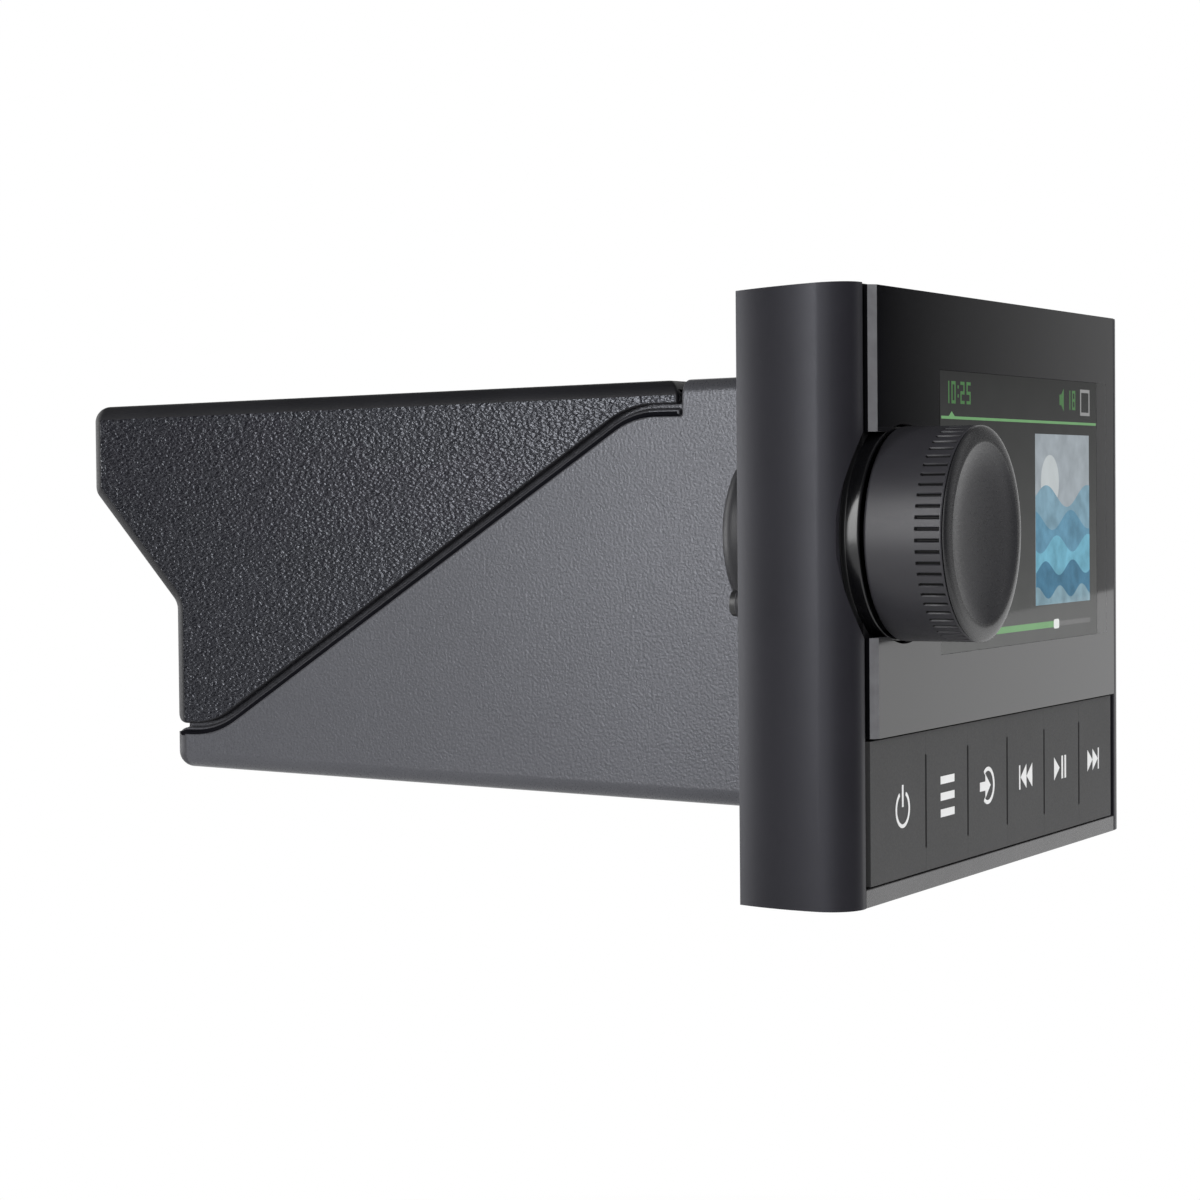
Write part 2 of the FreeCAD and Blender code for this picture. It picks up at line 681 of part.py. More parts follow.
def across_at(depth, height):
    """Picks the edge parallel to X that passes one point of the side view."""
    def test(edge):
        spots = [vertex.Point for vertex in edge.Vertexes]
        return all(near(spot.y, depth) and near(spot.z, height) for spot in spots)
    return test


# Tools for simple solids

def put(piece, x, y, z, rotation=None):
    spot = [as_size(length) for length in (x, y, z)]
    base = FreeCAD.Vector(*[length.number for length in spot])
    piece.Placement = FreeCAD.Placement(base, rotation or FreeCAD.Rotation())
    for axis, length in zip("xyz", spot):
        bind(piece, "Placement.Base." + axis, length)
    return piece


def block(left, right, front, back, low, high):
    piece = doc.addObject("Part::Box", "Block")
    spans = (("Length", left, right), ("Width", front, back), ("Height", low, high))
    for name, start, end in spans:
        bind(piece, name, as_size(end) - start)
    return put(piece, left, front, low)


ALONG = {
    "x": FreeCAD.Rotation(FreeCAD.Vector(0, 1, 0), 90),
    "y": FreeCAD.Rotation(FreeCAD.Vector(1, 0, 0), -90),
    "z": FreeCAD.Rotation(),
}


def rod(axis, radius, start, end, first, second):
    """Cylinder along an axis. first and second are its place on the other two axes."""
    piece = doc.addObject("Part::Cylinder", "Rod")
    bind(piece, "Radius", radius)
    bind(piece, "Height", as_size(end) - start)
    spots = {"x": (start, first, second), "y": (first, start, second), "z": (first, second, start)}
    return put(piece, *spots[axis], ALONG[axis])


def join(pieces):
    if len(pieces) == 1:
        return pieces[0]
    piece = doc.addObject("Part::MultiFuse", "Join")
    piece.Shapes = pieces
    return piece


def carve(base, *tools):
    piece = doc.addObject("Part::Cut", "Carve")
    piece.Base = base
    piece.Tool = join(list(tools))
    return piece


def group(pieces):
    piece = doc.addObject("Part::Compound", "Group")
    piece.Links = pieces
    return piece


def screw(axis, seat, direction, length, first, second):
    """Screw with a hexagon socket. seat is the level under its head."""
    tip = seat + direction * length
    crown = seat - direction * S.head_height
    bottom = crown + direction * S.hex_depth
    low, high = (seat, tip) if direction > 0 else (tip, seat)
    head_low, head_high = (crown, seat) if direction > 0 else (seat, crown)
    hex_low, hex_high = (crown, bottom) if direction > 0 else (bottom, crown)
    shank = rod(axis, S.screw_radius, low, high, first, second)
    head = rod(axis, S.head_radius, head_low, head_high, first, second)
    socket = rod(axis, S.hex_radius, hex_low, hex_high, first, second)
    return carve(join([shank, head]), socket)


# Front panel

def wedge(body, front):
    """Slope the top of a panel piece down towards the dashboard."""
    slack = 2 * S.cut_past
    fall = S.top_fall * (as_size(front) + S.panel_depth) / S.panel_depth
    cut = outline(
        (front, PANEL_TOP - fall),
        (0.0, PANEL_TOP - S.top_fall),
        (slack, PANEL_TOP - S.top_fall),
        (slack, PANEL_TOP + slack),
        (front, PANEL_TOP + slack),
    )
    pocket(body, "x", -PANEL_SIDE - slack, PANEL_SIDE + slack, cut)


def make_bezel():
    body = new_body("bezel")
    pad(body, "y", BEZEL_FRONT, 0.0, rectangle(-BEZEL_SIDE, BEZEL_SIDE, -PANEL_TOP, PANEL_TOP))
    pocket(body, "y", BEZEL_INNER, 0.0, rectangle(-INNER_SIDE, INNER_SIDE, FLOOR, ROOF))
    past = S.cut_past
    side_cut = BEZEL_SIDE + past
    pocket(body, "y", FRAME_FRONT, 0.0, rectangle(-side_cut, side_cut, FLOOR, ROOF))
    key_shelf = KEY_TOP + S.key_top_gap
    inner = INNER_SIDE + S.wall / 2
    pad(body, "y", BEZEL_INNER - S.wall / 2, KEY_WALL_BACK,
        rectangle(-inner, inner, FLOOR - S.wall / 2, key_shelf + S.wall))
    pocket(body, "y", BEZEL_FRONT - past, KEY_WALL_FRONT,
           rectangle(-side_cut, side_cut, LIP_TOP, key_shelf))
    lip_side = CAP_INNER - S.fit_gap
    pad(body, "y", PANEL_FRONT, VALLEY_FLOOR, rectangle(-lip_side, lip_side, -PANEL_TOP, LIP_TOP))
    seat_half = RECESS_RADIUS + S.wall / 2
    pad(body, "y", BEZEL_INNER - S.wall / 2, SEAT_BACK,
        rectangle(-inner, DISPLAY_LEFT - S.display_gap, S.knob_z - seat_half, S.knob_z + seat_half))
    pocket(body, "y", BEZEL_FRONT - past, RECESS_FLOOR,
           circle(KNOB_X, S.knob_z, RING_OUTER + S.ring_clearance))
    pocket(body, "y", RECESS_FLOOR - past, SEAT_BACK,
           circle(KNOB_X, S.knob_z, S.bush_radius + S.fit_gap))
    gap = S.display_gap
    pocket(body, "y", BEZEL_FRONT - past, BEZEL_INNER,
           rectangle(DISPLAY_LEFT - gap, DISPLAY_RIGHT + gap, DISPLAY_LOW - gap, DISPLAY_TOP + gap))
    hole = S.post_radius + S.post_clearance
    pocket(body, "y", KEY_WALL_FRONT - past, KEY_WALL_BACK,
           *[circle(x, S.post_z, hole) for x in KEY_CENTRES])
    bosses = front_board_screws()
    pad(body, "y", BEZEL_INNER - S.wall / 2, FRONT_BOARD_FACE,
        *[circle(x, z, S.small_boss_radius) for x, z in bosses])
    pocket(body, "y", BEZEL_INNER + S.wall / 2, FRONT_BOARD_FACE,
           *[circle(x, z, PILOT) for x, z in bosses])
    corners = bezel_screws()
    for x, z in corners:
        carrier = KEY_WALL_BACK if z.number < 0 else BEZEL_INNER
        pad(body, "y", carrier - S.wall / 2, FRAME_FRONT, circle(x, z, S.boss_radius))
    tip = BEZEL_SCREW_SEAT - bezel_screw_length()
    pocket(body, "y", tip - S.thread_room, FRAME_FRONT, *[circle(x, z, PILOT) for x, z in corners])
    wedge(body, PANEL_FRONT)


def front_board_screws():
    margin = S.front_screw_margin
    left = FRONT_BOARD_LEFT + margin
    side = FRONT_BOARD_SIDE - margin
    low = (KEY_TOP + DISPLAY_LOW) / 2
    return [(left, DISPLAY_TOP - S.front_screw_drop), (left, low), (side, low), (-side, low)]


def four_corners(x, z):
    return [(-x, -z), (x, -z), (x, z), (-x, z)]


def bezel_screws():
    return four_corners(INNER_SIDE - S.bezel_screw_inset, PANEL_TOP - S.bezel_screw_drop)


def bezel_screw_length():
    return S.frame_thickness + BEZEL_SCREW_SEAT + 2 * S.thread_grip


def corner_posts():
    """Outer side, roof and base of the four screw posts in the chassis corners."""
    sunk = S.chassis_wall / 2
    roof = top_at(S.post_depth, S.chassis_wall) + sunk / 2
    base = base_at(0.0, S.chassis_wall) - sunk / 2
    return CHASSIS_INNER + sunk, roof, base


def frame_screws():
    side, roof, base = corner_posts()
    half = S.corner_post / 2
    return [(x, z) for x in (half - side, side - half) for z in (base + half, roof - half)]


def mount_holes():
    return four_corners(MOUNT_X, MOUNT_Z)


def housing_ears():
    """The two screw ears of the round housing, on opposite sides of the knob axis."""
    reach = FLANGE_RADIUS + S.ear_offset
    spots = []
    for turned in (0.0, 180.0):
        angle = S.ear_angle + turned
        spots.append((reach * cosine(angle), reach * sine(angle)))
    return spots


def make_mounting_frame():
    body = new_body("mounting_frame")
    low = FLOOR + S.fit_gap / 2
    high = ROOF - S.fit_gap / 2
    pad(body, "y", FRAME_FRONT, 0.0, rectangle(-FRAME_SIDE, FRAME_SIDE, low, high))
    tall = S.frame_window_half_height
    pocket(body, "y", FRAME_FRONT, 0.0,
           rectangle(S.frame_window_left, S.frame_window_right, -tall, tall))
    pocket(body, "y", -S.gasket_depth, 0.0,
           rectangle(-GASKET_X, GASKET_X, -GASKET_Z, GASKET_Z),
           rectangle(*gasket_window()))
    pad(body, "y", FRAME_FRONT, 0.0, circle(KNOB_X, S.knob_z, FLANGE_RADIUS))
    for x, z in housing_ears():
        pad(body, "y", FRAME_FRONT, 0.0, circle(KNOB_X + x, S.knob_z + z, S.ear_radius))
    pocket(body, "y", FRAME_FRONT, 0.0, circle(KNOB_X, S.knob_z, FRAME_HOLE))
    pocket(body, "y", -S.seal_depth, 0.0,
           circle(KNOB_X, S.knob_z, SEAL_INNER + S.seal_width),
           circle(KNOB_X, S.knob_z, SEAL_INNER))
    pocket(body, "y", FRAME_FRONT, 0.0, *[circle(x, z, S.mount_hole_radius) for x, z in mount_holes()])
    counterbore = S.head_radius + S.fit_gap
    pocket(body, "y", BEZEL_SCREW_SEAT, -S.gasket_depth,
           *[circle(x, z, counterbore) for x, z in bezel_screws()])
    pocket(body, "y", FRAME_FRONT, 0.0, *[circle(x, z, S.screw_hole) for x, z in bezel_screws()])
    pocket(body, "y", FRAME_FRONT, 0.0, *[circle(x, z, S.screw_hole) for x, z in frame_screws()])
    ears = [circle(KNOB_X + x, S.knob_z + z, PILOT) for x, z in housing_ears()]
    pocket(body, "y", FRAME_FRONT, 0.0, *ears)


def gasket_window():
    gap = S.gasket_gap
    side = CHASSIS_SIDE + gap
    return -side, side, -S.chassis_base - gap, S.chassis_top + gap


def make_panel_gasket():
    left, right, low, high = gasket_window()
    sheet = block(-GASKET_X, GASKET_X, -S.gasket_depth, 0.0, -GASKET_Z, GASKET_Z)
    window = block(left, right, -S.gasket_depth, 0.0, low, high)
    holes = [rod("y", FLANGE_RADIUS + S.fit_gap, -S.gasket_depth, 0.0, KNOB_X, S.knob_z)]
    for x, z in housing_ears():
        holes.append(rod("y", S.ear_radius + S.fit_gap, -S.gasket_depth, 0.0, KNOB_X + x, S.knob_z + z))
    keep(carve(sheet, window, *holes), "panel_gasket")


def make_side_cap(label, side, with_recess):
    """D-shaped end cap. side is -1 on the left and 1 on the right."""
    inner = side * (BEZEL_SIDE + S.fit_gap)
    rear = side * CAP_REAR
    past = S.cut_past
    body = new_body(label)
    pad(body, "z", -PANEL_TOP, PANEL_TOP, outline(
        (inner, VALLEY_FLOOR),
        (side * CAP_INNER, VALLEY_FLOOR),
        (side * CAP_INNER, PANEL_FRONT),
        (side * (PANEL_SIDE - S.cap_corner), PANEL_FRONT, S.cap_corner, side),
        (side * PANEL_SIDE, CAP_FLANK, S.flank_radius, side),
        (rear, 0.0),
        (inner, 0.0),
    ))
    skirt = rear - side * S.skin
    edges = sorted([inner - side * past, skirt], key=lambda length: length.number)
    pocket(body, "y", FRAME_FRONT - S.fit_gap / 2, 0.0, rectangle(*edges, FLOOR, ROOF))
    head = S.mount_pocket / 2
    reach = side * (MOUNT_X + S.head_radius + S.fit_gap)
    edges = sorted([inner - side * past, reach], key=lambda length: length.number)
    pocket(body, "y", FRAME_FRONT - S.mount_pocket_depth, FRAME_FRONT,
           *[rectangle(*edges, z - head, z + head) for z in (-MOUNT_Z, MOUNT_Z)])
    if with_recess:
        floor = RECESS_FLOOR + S.ring_clearance
        pocket(body, "y", PANEL_FRONT - past, floor, circle(KNOB_X, S.knob_z, RECESS_RADIUS))
    wedge(body, PANEL_FRONT)


def make_front_glass():
    body = new_body("front_glass")
    edge = GLASS_SIDE - S.glass_proud
    pad(body, "z", GLASS_LOW, GLASS_TOP, outline(
        (-GLASS_SIDE, GLASS_BACK),
        (-GLASS_SIDE, PANEL_FRONT),
        (-edge, GLASS_FRONT),
        (edge, GLASS_FRONT),
        (GLASS_SIDE, PANEL_FRONT),
        (GLASS_SIDE, GLASS_BACK),
    ))
    pocket(body, "y", GLASS_FRONT, GLASS_BACK, circle(KNOB_X, S.knob_z, RECESS_RADIUS))


def make_glass_tape():
    body = new_body("glass_tape")
    edge = GLASS_SIDE - S.tape_inset
    gap = S.display_gap
    pad(body, "y", GLASS_BACK, BEZEL_FRONT,
        rectangle(-edge, edge, GLASS_LOW + S.tape_inset, GLASS_TOP - S.tape_inset))
    pocket(body, "y", GLASS_BACK, BEZEL_FRONT,
           rectangle(DISPLAY_LEFT - gap, DISPLAY_RIGHT + gap, DISPLAY_LOW - gap, DISPLAY_TOP + gap))
    pocket(body, "y", GLASS_BACK, BEZEL_FRONT,
           circle(KNOB_X, S.knob_z, RECESS_RADIUS + S.ring_clearance))


def make_display():
    span = (DISPLAY_LEFT, DISPLAY_RIGHT)
    rise = (DISPLAY_LOW, DISPLAY_TOP)
    keep(block(*span, GLASS_BACK, DISPLAY_BACK, *rise), "display_panel")
    back = DISPLAY_BACK + S.backlight_depth
    wall = S.tray_wall
    tray = block(*span, DISPLAY_BACK, back, *rise)
    hollow = block(span[0] + wall, span[1] - wall, DISPLAY_BACK, back - wall, rise[0] + wall, rise[1] - wall)
    keep(carve(tray, hollow), "backlight_tray")
    inset = wall + S.fit_gap / 2
    keep(block(span[0] + inset, span[1] - inset, DISPLAY_BACK, back - wall,
               rise[0] + inset, rise[1] - inset), "light_guide")


# Keys

KEY_NAMES = ["power", "menu", "source", "previous", "play", "next"]


def make_key(index):
    """Key cap with half a groove in each side that faces another key, and a rear post."""
    last = len(KEY_NAMES) - 1
    left = -GLASS_SIDE if index == 0 else KEY_SEAMS[index - 1] + S.key_seam / 2
    right = GLASS_SIDE if index == last else KEY_SEAMS[index] - S.key_seam / 2
    middle = (KEY_TOP + KEY_LOW) / 2
    low = middle - S.groove_length / 2
    high = middle + S.groove_length / 2
    bite = (S.groove_width - S.key_seam) / 2
    corners = [(left, KEY_LOW), (right, KEY_LOW)]
    if index < last:
        corners += [(right, low), (right - bite, low), (right - bite, high), (right, high)]
    corners += [(right, KEY_TOP), (left, KEY_TOP)]
    if index > 0:
        corners += [(left, high), (left + bite, high), (left + bite, low), (left, low)]
    body = new_body("key_" + KEY_NAMES[index])
    pad(body, "y", PANEL_FRONT, KEY_BACK, outline(*corners))
    tip = PLUNGER_TIP - S.key_travel - S.post_margin
    pad(body, "y", KEY_BACK - S.key_thickness / 2, tip, circle(KEY_CENTRES[index], S.post_z, S.post_radius))


def make_key_mat():
    body = new_body("key_mat")
    side = bezel_screws()[1][0] - S.boss_radius - S.fit_gap
    pad(body, "y", KEY_WALL_BACK, MAT_BACK, rectangle(-side, side, FLOOR + 3 * S.fit_gap, KEY_TOP))
    hole = S.post_radius + S.post_clearance
    pocket(body, "y", KEY_WALL_BACK, MAT_BACK, *[circle(x, S.post_z, hole) for x in KEY_CENTRES])


def make_key_switches():
    half = S.switch_side / 2
    base = PLUNGER_TIP + S.plunger_height
    switches = []
    for x in KEY_CENTRES:
        case = block(x - half, x + half, base, FRONT_BOARD_FACE, S.post_z - half, S.post_z + half)
        plunger = rod("y", S.plunger_radius, PLUNGER_TIP, base, x, S.post_z)
        switches.append(join([case, plunger]))
    keep(group(switches), "key_switches")


def make_front_board():
    body = new_body("front_board")
    half = S.front_board_half
    pad(body, "y", FRONT_BOARD_FACE, FRONT_BOARD_BACK, outline(
        (-FRONT_BOARD_SIDE, -half),
        (FRONT_BOARD_SIDE, -half),
        (FRONT_BOARD_SIDE, half),
        (FRONT_BOARD_LEFT, half),
        (FRONT_BOARD_LEFT, S.front_board_step),
        (-FRONT_BOARD_SIDE, S.front_board_step),
    ))
    pocket(body, "y", FRONT_BOARD_FACE, FRONT_BOARD_BACK,
           *[circle(x, z, S.screw_hole) for x, z in front_board_screws()])
    length = S.board_thickness + S.thread_grip
    screws = [screw("y", FRONT_BOARD_BACK, -1, length, x, z) for x, z in front_board_screws()]
    keep(group(screws), "front_board_screws")


# Knob and encoder, each in a body on the knob axis

def on_axis(label):
    return new_body(label, KNOB_X, 0.0, S.knob_z)


def make_knob_sleeve():
    body = on_axis("knob_sleeve")
    edge = S.knob_edge
    spigot = S.knob_radius - S.sleeve_wall
    pocket_floor = SLEEVE_FRONT + S.spigot_depth
    bore = S.shaft_radius
    shaft_end = pocket_floor + S.wall / 2
    cavity = KNOB_BACK - S.hub_cavity_depth
    turn(body,
         (S.hub_cavity_radius, KNOB_BACK),
         (S.knob_radius - edge, KNOB_BACK),
         (S.knob_radius, KNOB_BACK - edge),
         (S.knob_radius, SLEEVE_FRONT),
         (spigot, SLEEVE_FRONT),
         (spigot, pocket_floor),
         (0.0, pocket_floor),
         (0.0, shaft_end),
         (bore, shaft_end),
         (bore, cavity),
         (S.hub_cavity_radius, cavity))
    half = S.notch_width / 2
    near_end = SLEEVE_FRONT + S.notch_margin
    floor = S.knob_radius - S.notch_depth
    notch = pocket(body, "y", near_end, near_end + S.notch_length,
                   rectangle(-half, half, floor, S.knob_radius + S.cut_past))
    pattern = body.newObject("PartDesign::PolarPattern", "PolarPattern")
    pattern.Originals = [notch]
    pattern.Axis = (origin_feature(body, "Y_Axis"), [""])
    pattern.Angle = 360.0
    pattern.Occurrences = int(S.notch_count.number)
    bind(pattern, "Occurrences", S.notch_count)
    body.Tip = pattern


def make_knob_cap():
    body = on_axis("knob_cap")
    rim_back = KNOB_FRONT + S.cap_rim
    root_floor = SLEEVE_FRONT + S.spigot_depth
    rim = S.knob_radius
    flat = rim - S.rim_chamfer
    spigot = rim - S.sleeve_wall
    dish = rim - S.dish_margin
    turn(body,
         (0.0, root_floor),
         (spigot, root_floor),
         (spigot, rim_back),
         (rim, rim_back),
         (rim, rim_back - S.cap_rim / 4),
         (flat, KNOB_FRONT),
         (dish + S.dish_depth, KNOB_FRONT),
         (dish, KNOB_FRONT + S.dish_depth / 2),
         (0.0, KNOB_FRONT + S.dish_depth))


def make_knob_ring():
    body = on_axis("knob_ring")
    edge = S.ring_edge
    turn(body,
         (RING_INNER, RECESS_FLOOR),
         (RING_OUTER, RECESS_FLOOR),
         (RING_OUTER, GLASS_FRONT + edge),
         (RING_OUTER - edge, GLASS_FRONT),
         (RING_INNER + edge, GLASS_FRONT),
         (RING_INNER, GLASS_FRONT + edge))


def make_encoder():
    cavity_front = SEAT_BACK + S.encoder_wall
    cavity_back = ENCODER_BACK - S.encoder_wall
    cavity_radius = S.rotor_radius + S.rotor_clearance
    half = S.encoder_side / 2
    body = on_axis("encoder_body")
    pad(body, "y", SEAT_BACK, ENCODER_BACK, rectangle(-half, half, -half, half))
    pocket(body, "y", cavity_front, cavity_back, circle(0.0, 0.0, cavity_radius))
    pocket(body, "y", SEAT_BACK, cavity_front, circle(0.0, 0.0, S.bush_radius + S.shaft_clearance))

    bore = S.shaft_radius + S.shaft_clearance
    rotor = on_axis("encoder_rotor")
    gap = S.rotor_clearance
    turn(rotor,
         (bore, cavity_front + gap),
         (S.rotor_radius, cavity_front + gap),
         (S.rotor_radius, cavity_back - gap),
         (bore, cavity_back - gap))

    bush = on_axis("encoder_bush")
    bush_front = SEAT_BACK - S.bush_length
    turn(bush,
         (bore, bush_front),
         (S.bush_radius, bush_front),
         (S.bush_radius, cavity_front),
         (bore, cavity_front))

    nut = on_axis("encoder_nut")
    nut_front = RECESS_FLOOR - S.nut_height
    corners = []
    for step in range(6):
        angle = Size(60.0 * step, f"{60.0 * step}")
        corners.append((S.nut_radius * cosine(angle), S.nut_radius * sine(angle)))
    pad(nut, "y", nut_front, RECESS_FLOOR, outline(*corners),
        circle(0.0, 0.0, S.bush_radius + S.shaft_clearance))

    shaft = on_axis("encoder_shaft")
    shaft_front = SLEEVE_FRONT + S.spigot_depth + S.wall / 2
    shaft_back = cavity_back - S.knob_push - S.fit_gap / 2
    turn(shaft,
         (0.0, shaft_front),
         (S.shaft_radius, shaft_front),
         (S.shaft_radius, shaft_back),
         (0.0, shaft_back))

    keep(rod("y", S.encoder_board_radius, ENCODER_BACK, ENCODER_BOARD_BACK, KNOB_X, S.knob_z),
         "encoder_board")
    wide = S.plug_width / 2
    tall = S.plug_height / 2
    keep(block(KNOB_X - wide, KNOB_X + wide, ENCODER_BOARD_BACK, ENCODER_BOARD_BACK + S.plug_depth,
               S.knob_z - tall, S.knob_z + tall), "encoder_plug")


def make_encoder_housing():
    body = on_axis("encoder_housing")
    turn(body,
         (HOUSING_BORE, 0.0),
         (FLANGE_RADIUS, 0.0),
         (FLANGE_RADIUS, S.flange_thickness),
         (S.can_radius, S.flange_thickness),
         (S.can_radius, S.can_depth - S.can_edge, S.can_edge, 1),
         (S.can_radius - S.can_edge, S.can_depth),
         (0.0, S.can_depth),
         (0.0, S.can_depth - S.can_wall),
         (HOUSING_BORE, S.can_depth - S.can_wall))
    ears = housing_ears()
    for x, z in ears:
        pad(body, "y", 0.0, S.flange_thickness, circle(x, z, S.ear_radius))
    holes = [circle(x, z, S.screw_hole) for x, z in ears]
    pocket(body, "y", 0.0, S.flange_thickness, *holes)

    seal = on_axis("encoder_seal")
    slack = S.fit_gap / 4
    inner = SEAL_INNER + slack
    outer = SEAL_INNER + S.seal_width - slack
    turn(seal, (inner, -S.seal_depth), (outer, -S.seal_depth), (outer, 0.0), (inner, 0.0))

    length = S.flange_thickness + S.frame_thickness - S.thread_room
    screws = []
    for x, z in ears:
        screws.append(screw("y", S.flange_thickness, -1, length, KNOB_X + x, S.knob_z + z))
    keep(group(screws), "housing_screws")


# Chassis and rear cover

def split_line(start, shift):
    """Corners along the split from start to its rear bend, moved up and back by shift."""
    run = BEND_REAR - S.bend_front
    fall = SPLIT_HIGH - SPLIT_LOW
    slant = root(run * run + fall * fall)
    half_bend = (slant - run) / fall
    along = run / slant
    down = fall / slant
    front = S.bend_front + shift * half_bend
    rear = BEND_REAR + shift * half_bend
    high = SPLIT_HIGH + shift
    low = SPLIT_LOW + shift
    front_radius = S.bend_radius + shift
    rear_radius = S.bend_radius - shift
    front_reach = front_radius * half_bend
    rear_reach = rear_radius * half_bend
    return [
        (start, high),
        (front - front_reach, high, front_radius, -1),
        (front + front_reach * along, high - front_reach * down),
        (rear - rear_reach * along, low + rear_reach * down, rear_radius, 1),
        (rear + rear_reach, low),
    ]


def make_chassis():
    body = new_body("chassis")
    side = CHASSIS_SIDE
    front = S.split_y - S.split_gap / 2
    edge = split_line(front, -S.split_gap / 2)
    rear = S.lower_depth
    pad(body, "x", -side, side, outline(
        (0.0, base_at(0.0)),
        (rear, base_at(rear)),
        (rear, edge[-1][1]),
        *backwards(edge),
        (front, top_at(front)),
        (0.0, top_at(0.0)),
    ))
    round_edges(body, S.edge_radius, long_edge, rear_upright(rear))
    hollow_chassis(body, front)
    cut_ledge(body, front)
    add_lap(body)
    add_corner_posts(body)
    add_board_bosses(body)
    cut_encoder_notch(body)
    z = rear_screw_height()
    pocket(body, "y", rear - S.chassis_wall, rear,
           *[circle(x, z, S.screw_hole) for x in (-S.tongue_x, S.tongue_x)])
    pocket(body, "z", SPLIT_HIGH, S.chassis_top,
           *[circle(x, top_screw_depth(), PILOT) for x in (-AMP_SCREW_X, AMP_SCREW_X)])


def long_edge(edge):
    """Picks the outer edges that run along the top and the floor."""
    spots = [vertex.Point for vertex in edge.Vertexes]
    if len(spots) != 2 or edge.Curve.TypeId != "Part::GeomLine":
        return False
    on_side = all(near(abs(spot.x), CHASSIS_SIDE) for spot in spots)
    on_top = all(near(spot.z, top_at(spot.y)) for spot in spots)
    on_base = all(near(spot.z, base_at(spot.y)) for spot in spots)
    return on_side and (on_top or on_base) and abs(spots[0].y - spots[1].y) > 1.0


def rear_upright(depth):
    """Picks the vertical edges at a depth."""
    def test(edge):
        spots = [vertex.Point for vertex in edge.Vertexes]
        level = all(near(spot.y, depth) and near(abs(spot.x), CHASSIS_SIDE) for spot in spots)
        return level and len(spots) == 2
    return test


def hollow_chassis(body, front):
    past = S.cut_past
    wall = S.chassis_wall
    rear = S.lower_depth - wall
    high = SPLIT_HIGH + past
    low = SPLIT_LOW + past
    pocket(body, "x", -CHASSIS_INNER, CHASSIS_INNER, outline(
        (-past, base_at(-past, wall)),
        (rear, base_at(rear, wall)),
        (rear, low),
        (BEND_REAR, low),
        (S.bend_front, high),
        (front + past, high),
        (front + past, top_at(front + past, wall)),
        (-past, top_at(-past, wall)),
    ))


def cut_ledge(body, front):
    """Step back the skin below the split, and part the step from the upright edge."""
    high = split_line(front, 0.0)
    low = split_line(front, -S.split_gap / 2 - S.ledge_height)
    rear = S.lower_depth + S.cut_past
    band = outline(*low, (rear, low[-1][1]), (rear, high[-1][1]), *backwards(high))
    slot = rectangle(front, front + S.split_gap, low[0][1], high[0][1])
    outside = CHASSIS_SIDE + S.cut_past
    step = CHASSIS_SIDE - S.ledge_recess
    pocket(body, "x", step, outside, band)
    pocket(body, "x", -outside, -step, band)
    pocket(body, "x", CHASSIS_INNER, outside, slot)
    pocket(body, "x", -outside, -CHASSIS_INNER, slot)


def add_lap(body):
    """Strips inside the walls along the split, over which the cover slides."""
    wall = S.chassis_wall
    front = S.split_y - S.lap_width
    high = split_line(front, S.lap_reach)
    low = split_line(front, -S.lap_width)
    rear = TONGUE_BACK
    band = outline(*high, (rear, high[-1][1]), (rear, low[-1][1]), *backwards(low))
    core = CHASSIS_INNER - S.lap_thickness
    pad(body, "x", -CHASSIS_INNER, CHASSIS_INNER, band)
    pocket(body, "x", -core, core, band)
    back = S.split_y + 2 * S.lap_width
    gap = S.fit_gap
    thick = S.lap_thickness
    pad(body, "x", -CHASSIS_INNER, CHASSIS_INNER, outline(
        (front, top_at(front, wall)),
        (back, top_at(back, wall + gap)),
        (back, top_at(back, wall + gap + thick)),
        (front, top_at(front, wall + thick)),
    ))


def add_corner_posts(body):
    """Four posts behind the mounting frame that take its screws."""
    side, roof, base = corner_posts()
    post = S.corner_post
    shapes = []
    for left, right in ((-side, post - side), (side - post, side)):
        shapes.append(rectangle(left, right, roof - post, roof))
        shapes.append(rectangle(left, right, base, base + post))
    pad(body, "y", 0.0, S.post_depth, *shapes)
    pocket(body, "y", 0.0, S.post_depth, *[circle(x, z, PILOT) for x, z in frame_screws()])


def board_screws():
    x = BOARD_HALF - S.screw_inset
    inset = S.board_screw_inset
    return [(side * x, y) for side in (-1, 1) for y in (BOARD_FRONT + inset, BOARD_REAR - inset)]


def amp_screws():
    inset = S.amp_screw_inset
    return [(side * AMP_SCREW_X, y) for side in (-1, 1) for y in (S.amp_front + inset, S.amp_rear - inset)]


def add_board_bosses(body):
    for x, y in board_screws():
        pad(body, "z", base_at(y, S.chassis_wall / 2), BOARD_UNDER, circle(x, y, S.board_boss_radius))
    pocket(body, "z", BOARD_UNDER - S.thread_grip - S.thread_room, BOARD_UNDER,
           *[circle(x, y, PILOT) for x, y in board_screws()])


def cut_encoder_notch(body):
    """Room in the side wall for the round housing and its flange."""
    gap = 2 * S.fit_gap
    pocket(body, "y", 0.0, S.flange_thickness + gap, circle(KNOB_X, S.knob_z, FLANGE_RADIUS + gap))
    pocket(body, "y", 0.0, S.can_depth + gap, circle(KNOB_X, S.knob_z, S.can_radius + gap))


def rear_screw_height():
    return (SPLIT_LOW - S.split_gap / 2 + base_at(S.lower_depth, S.chassis_wall)) / 2


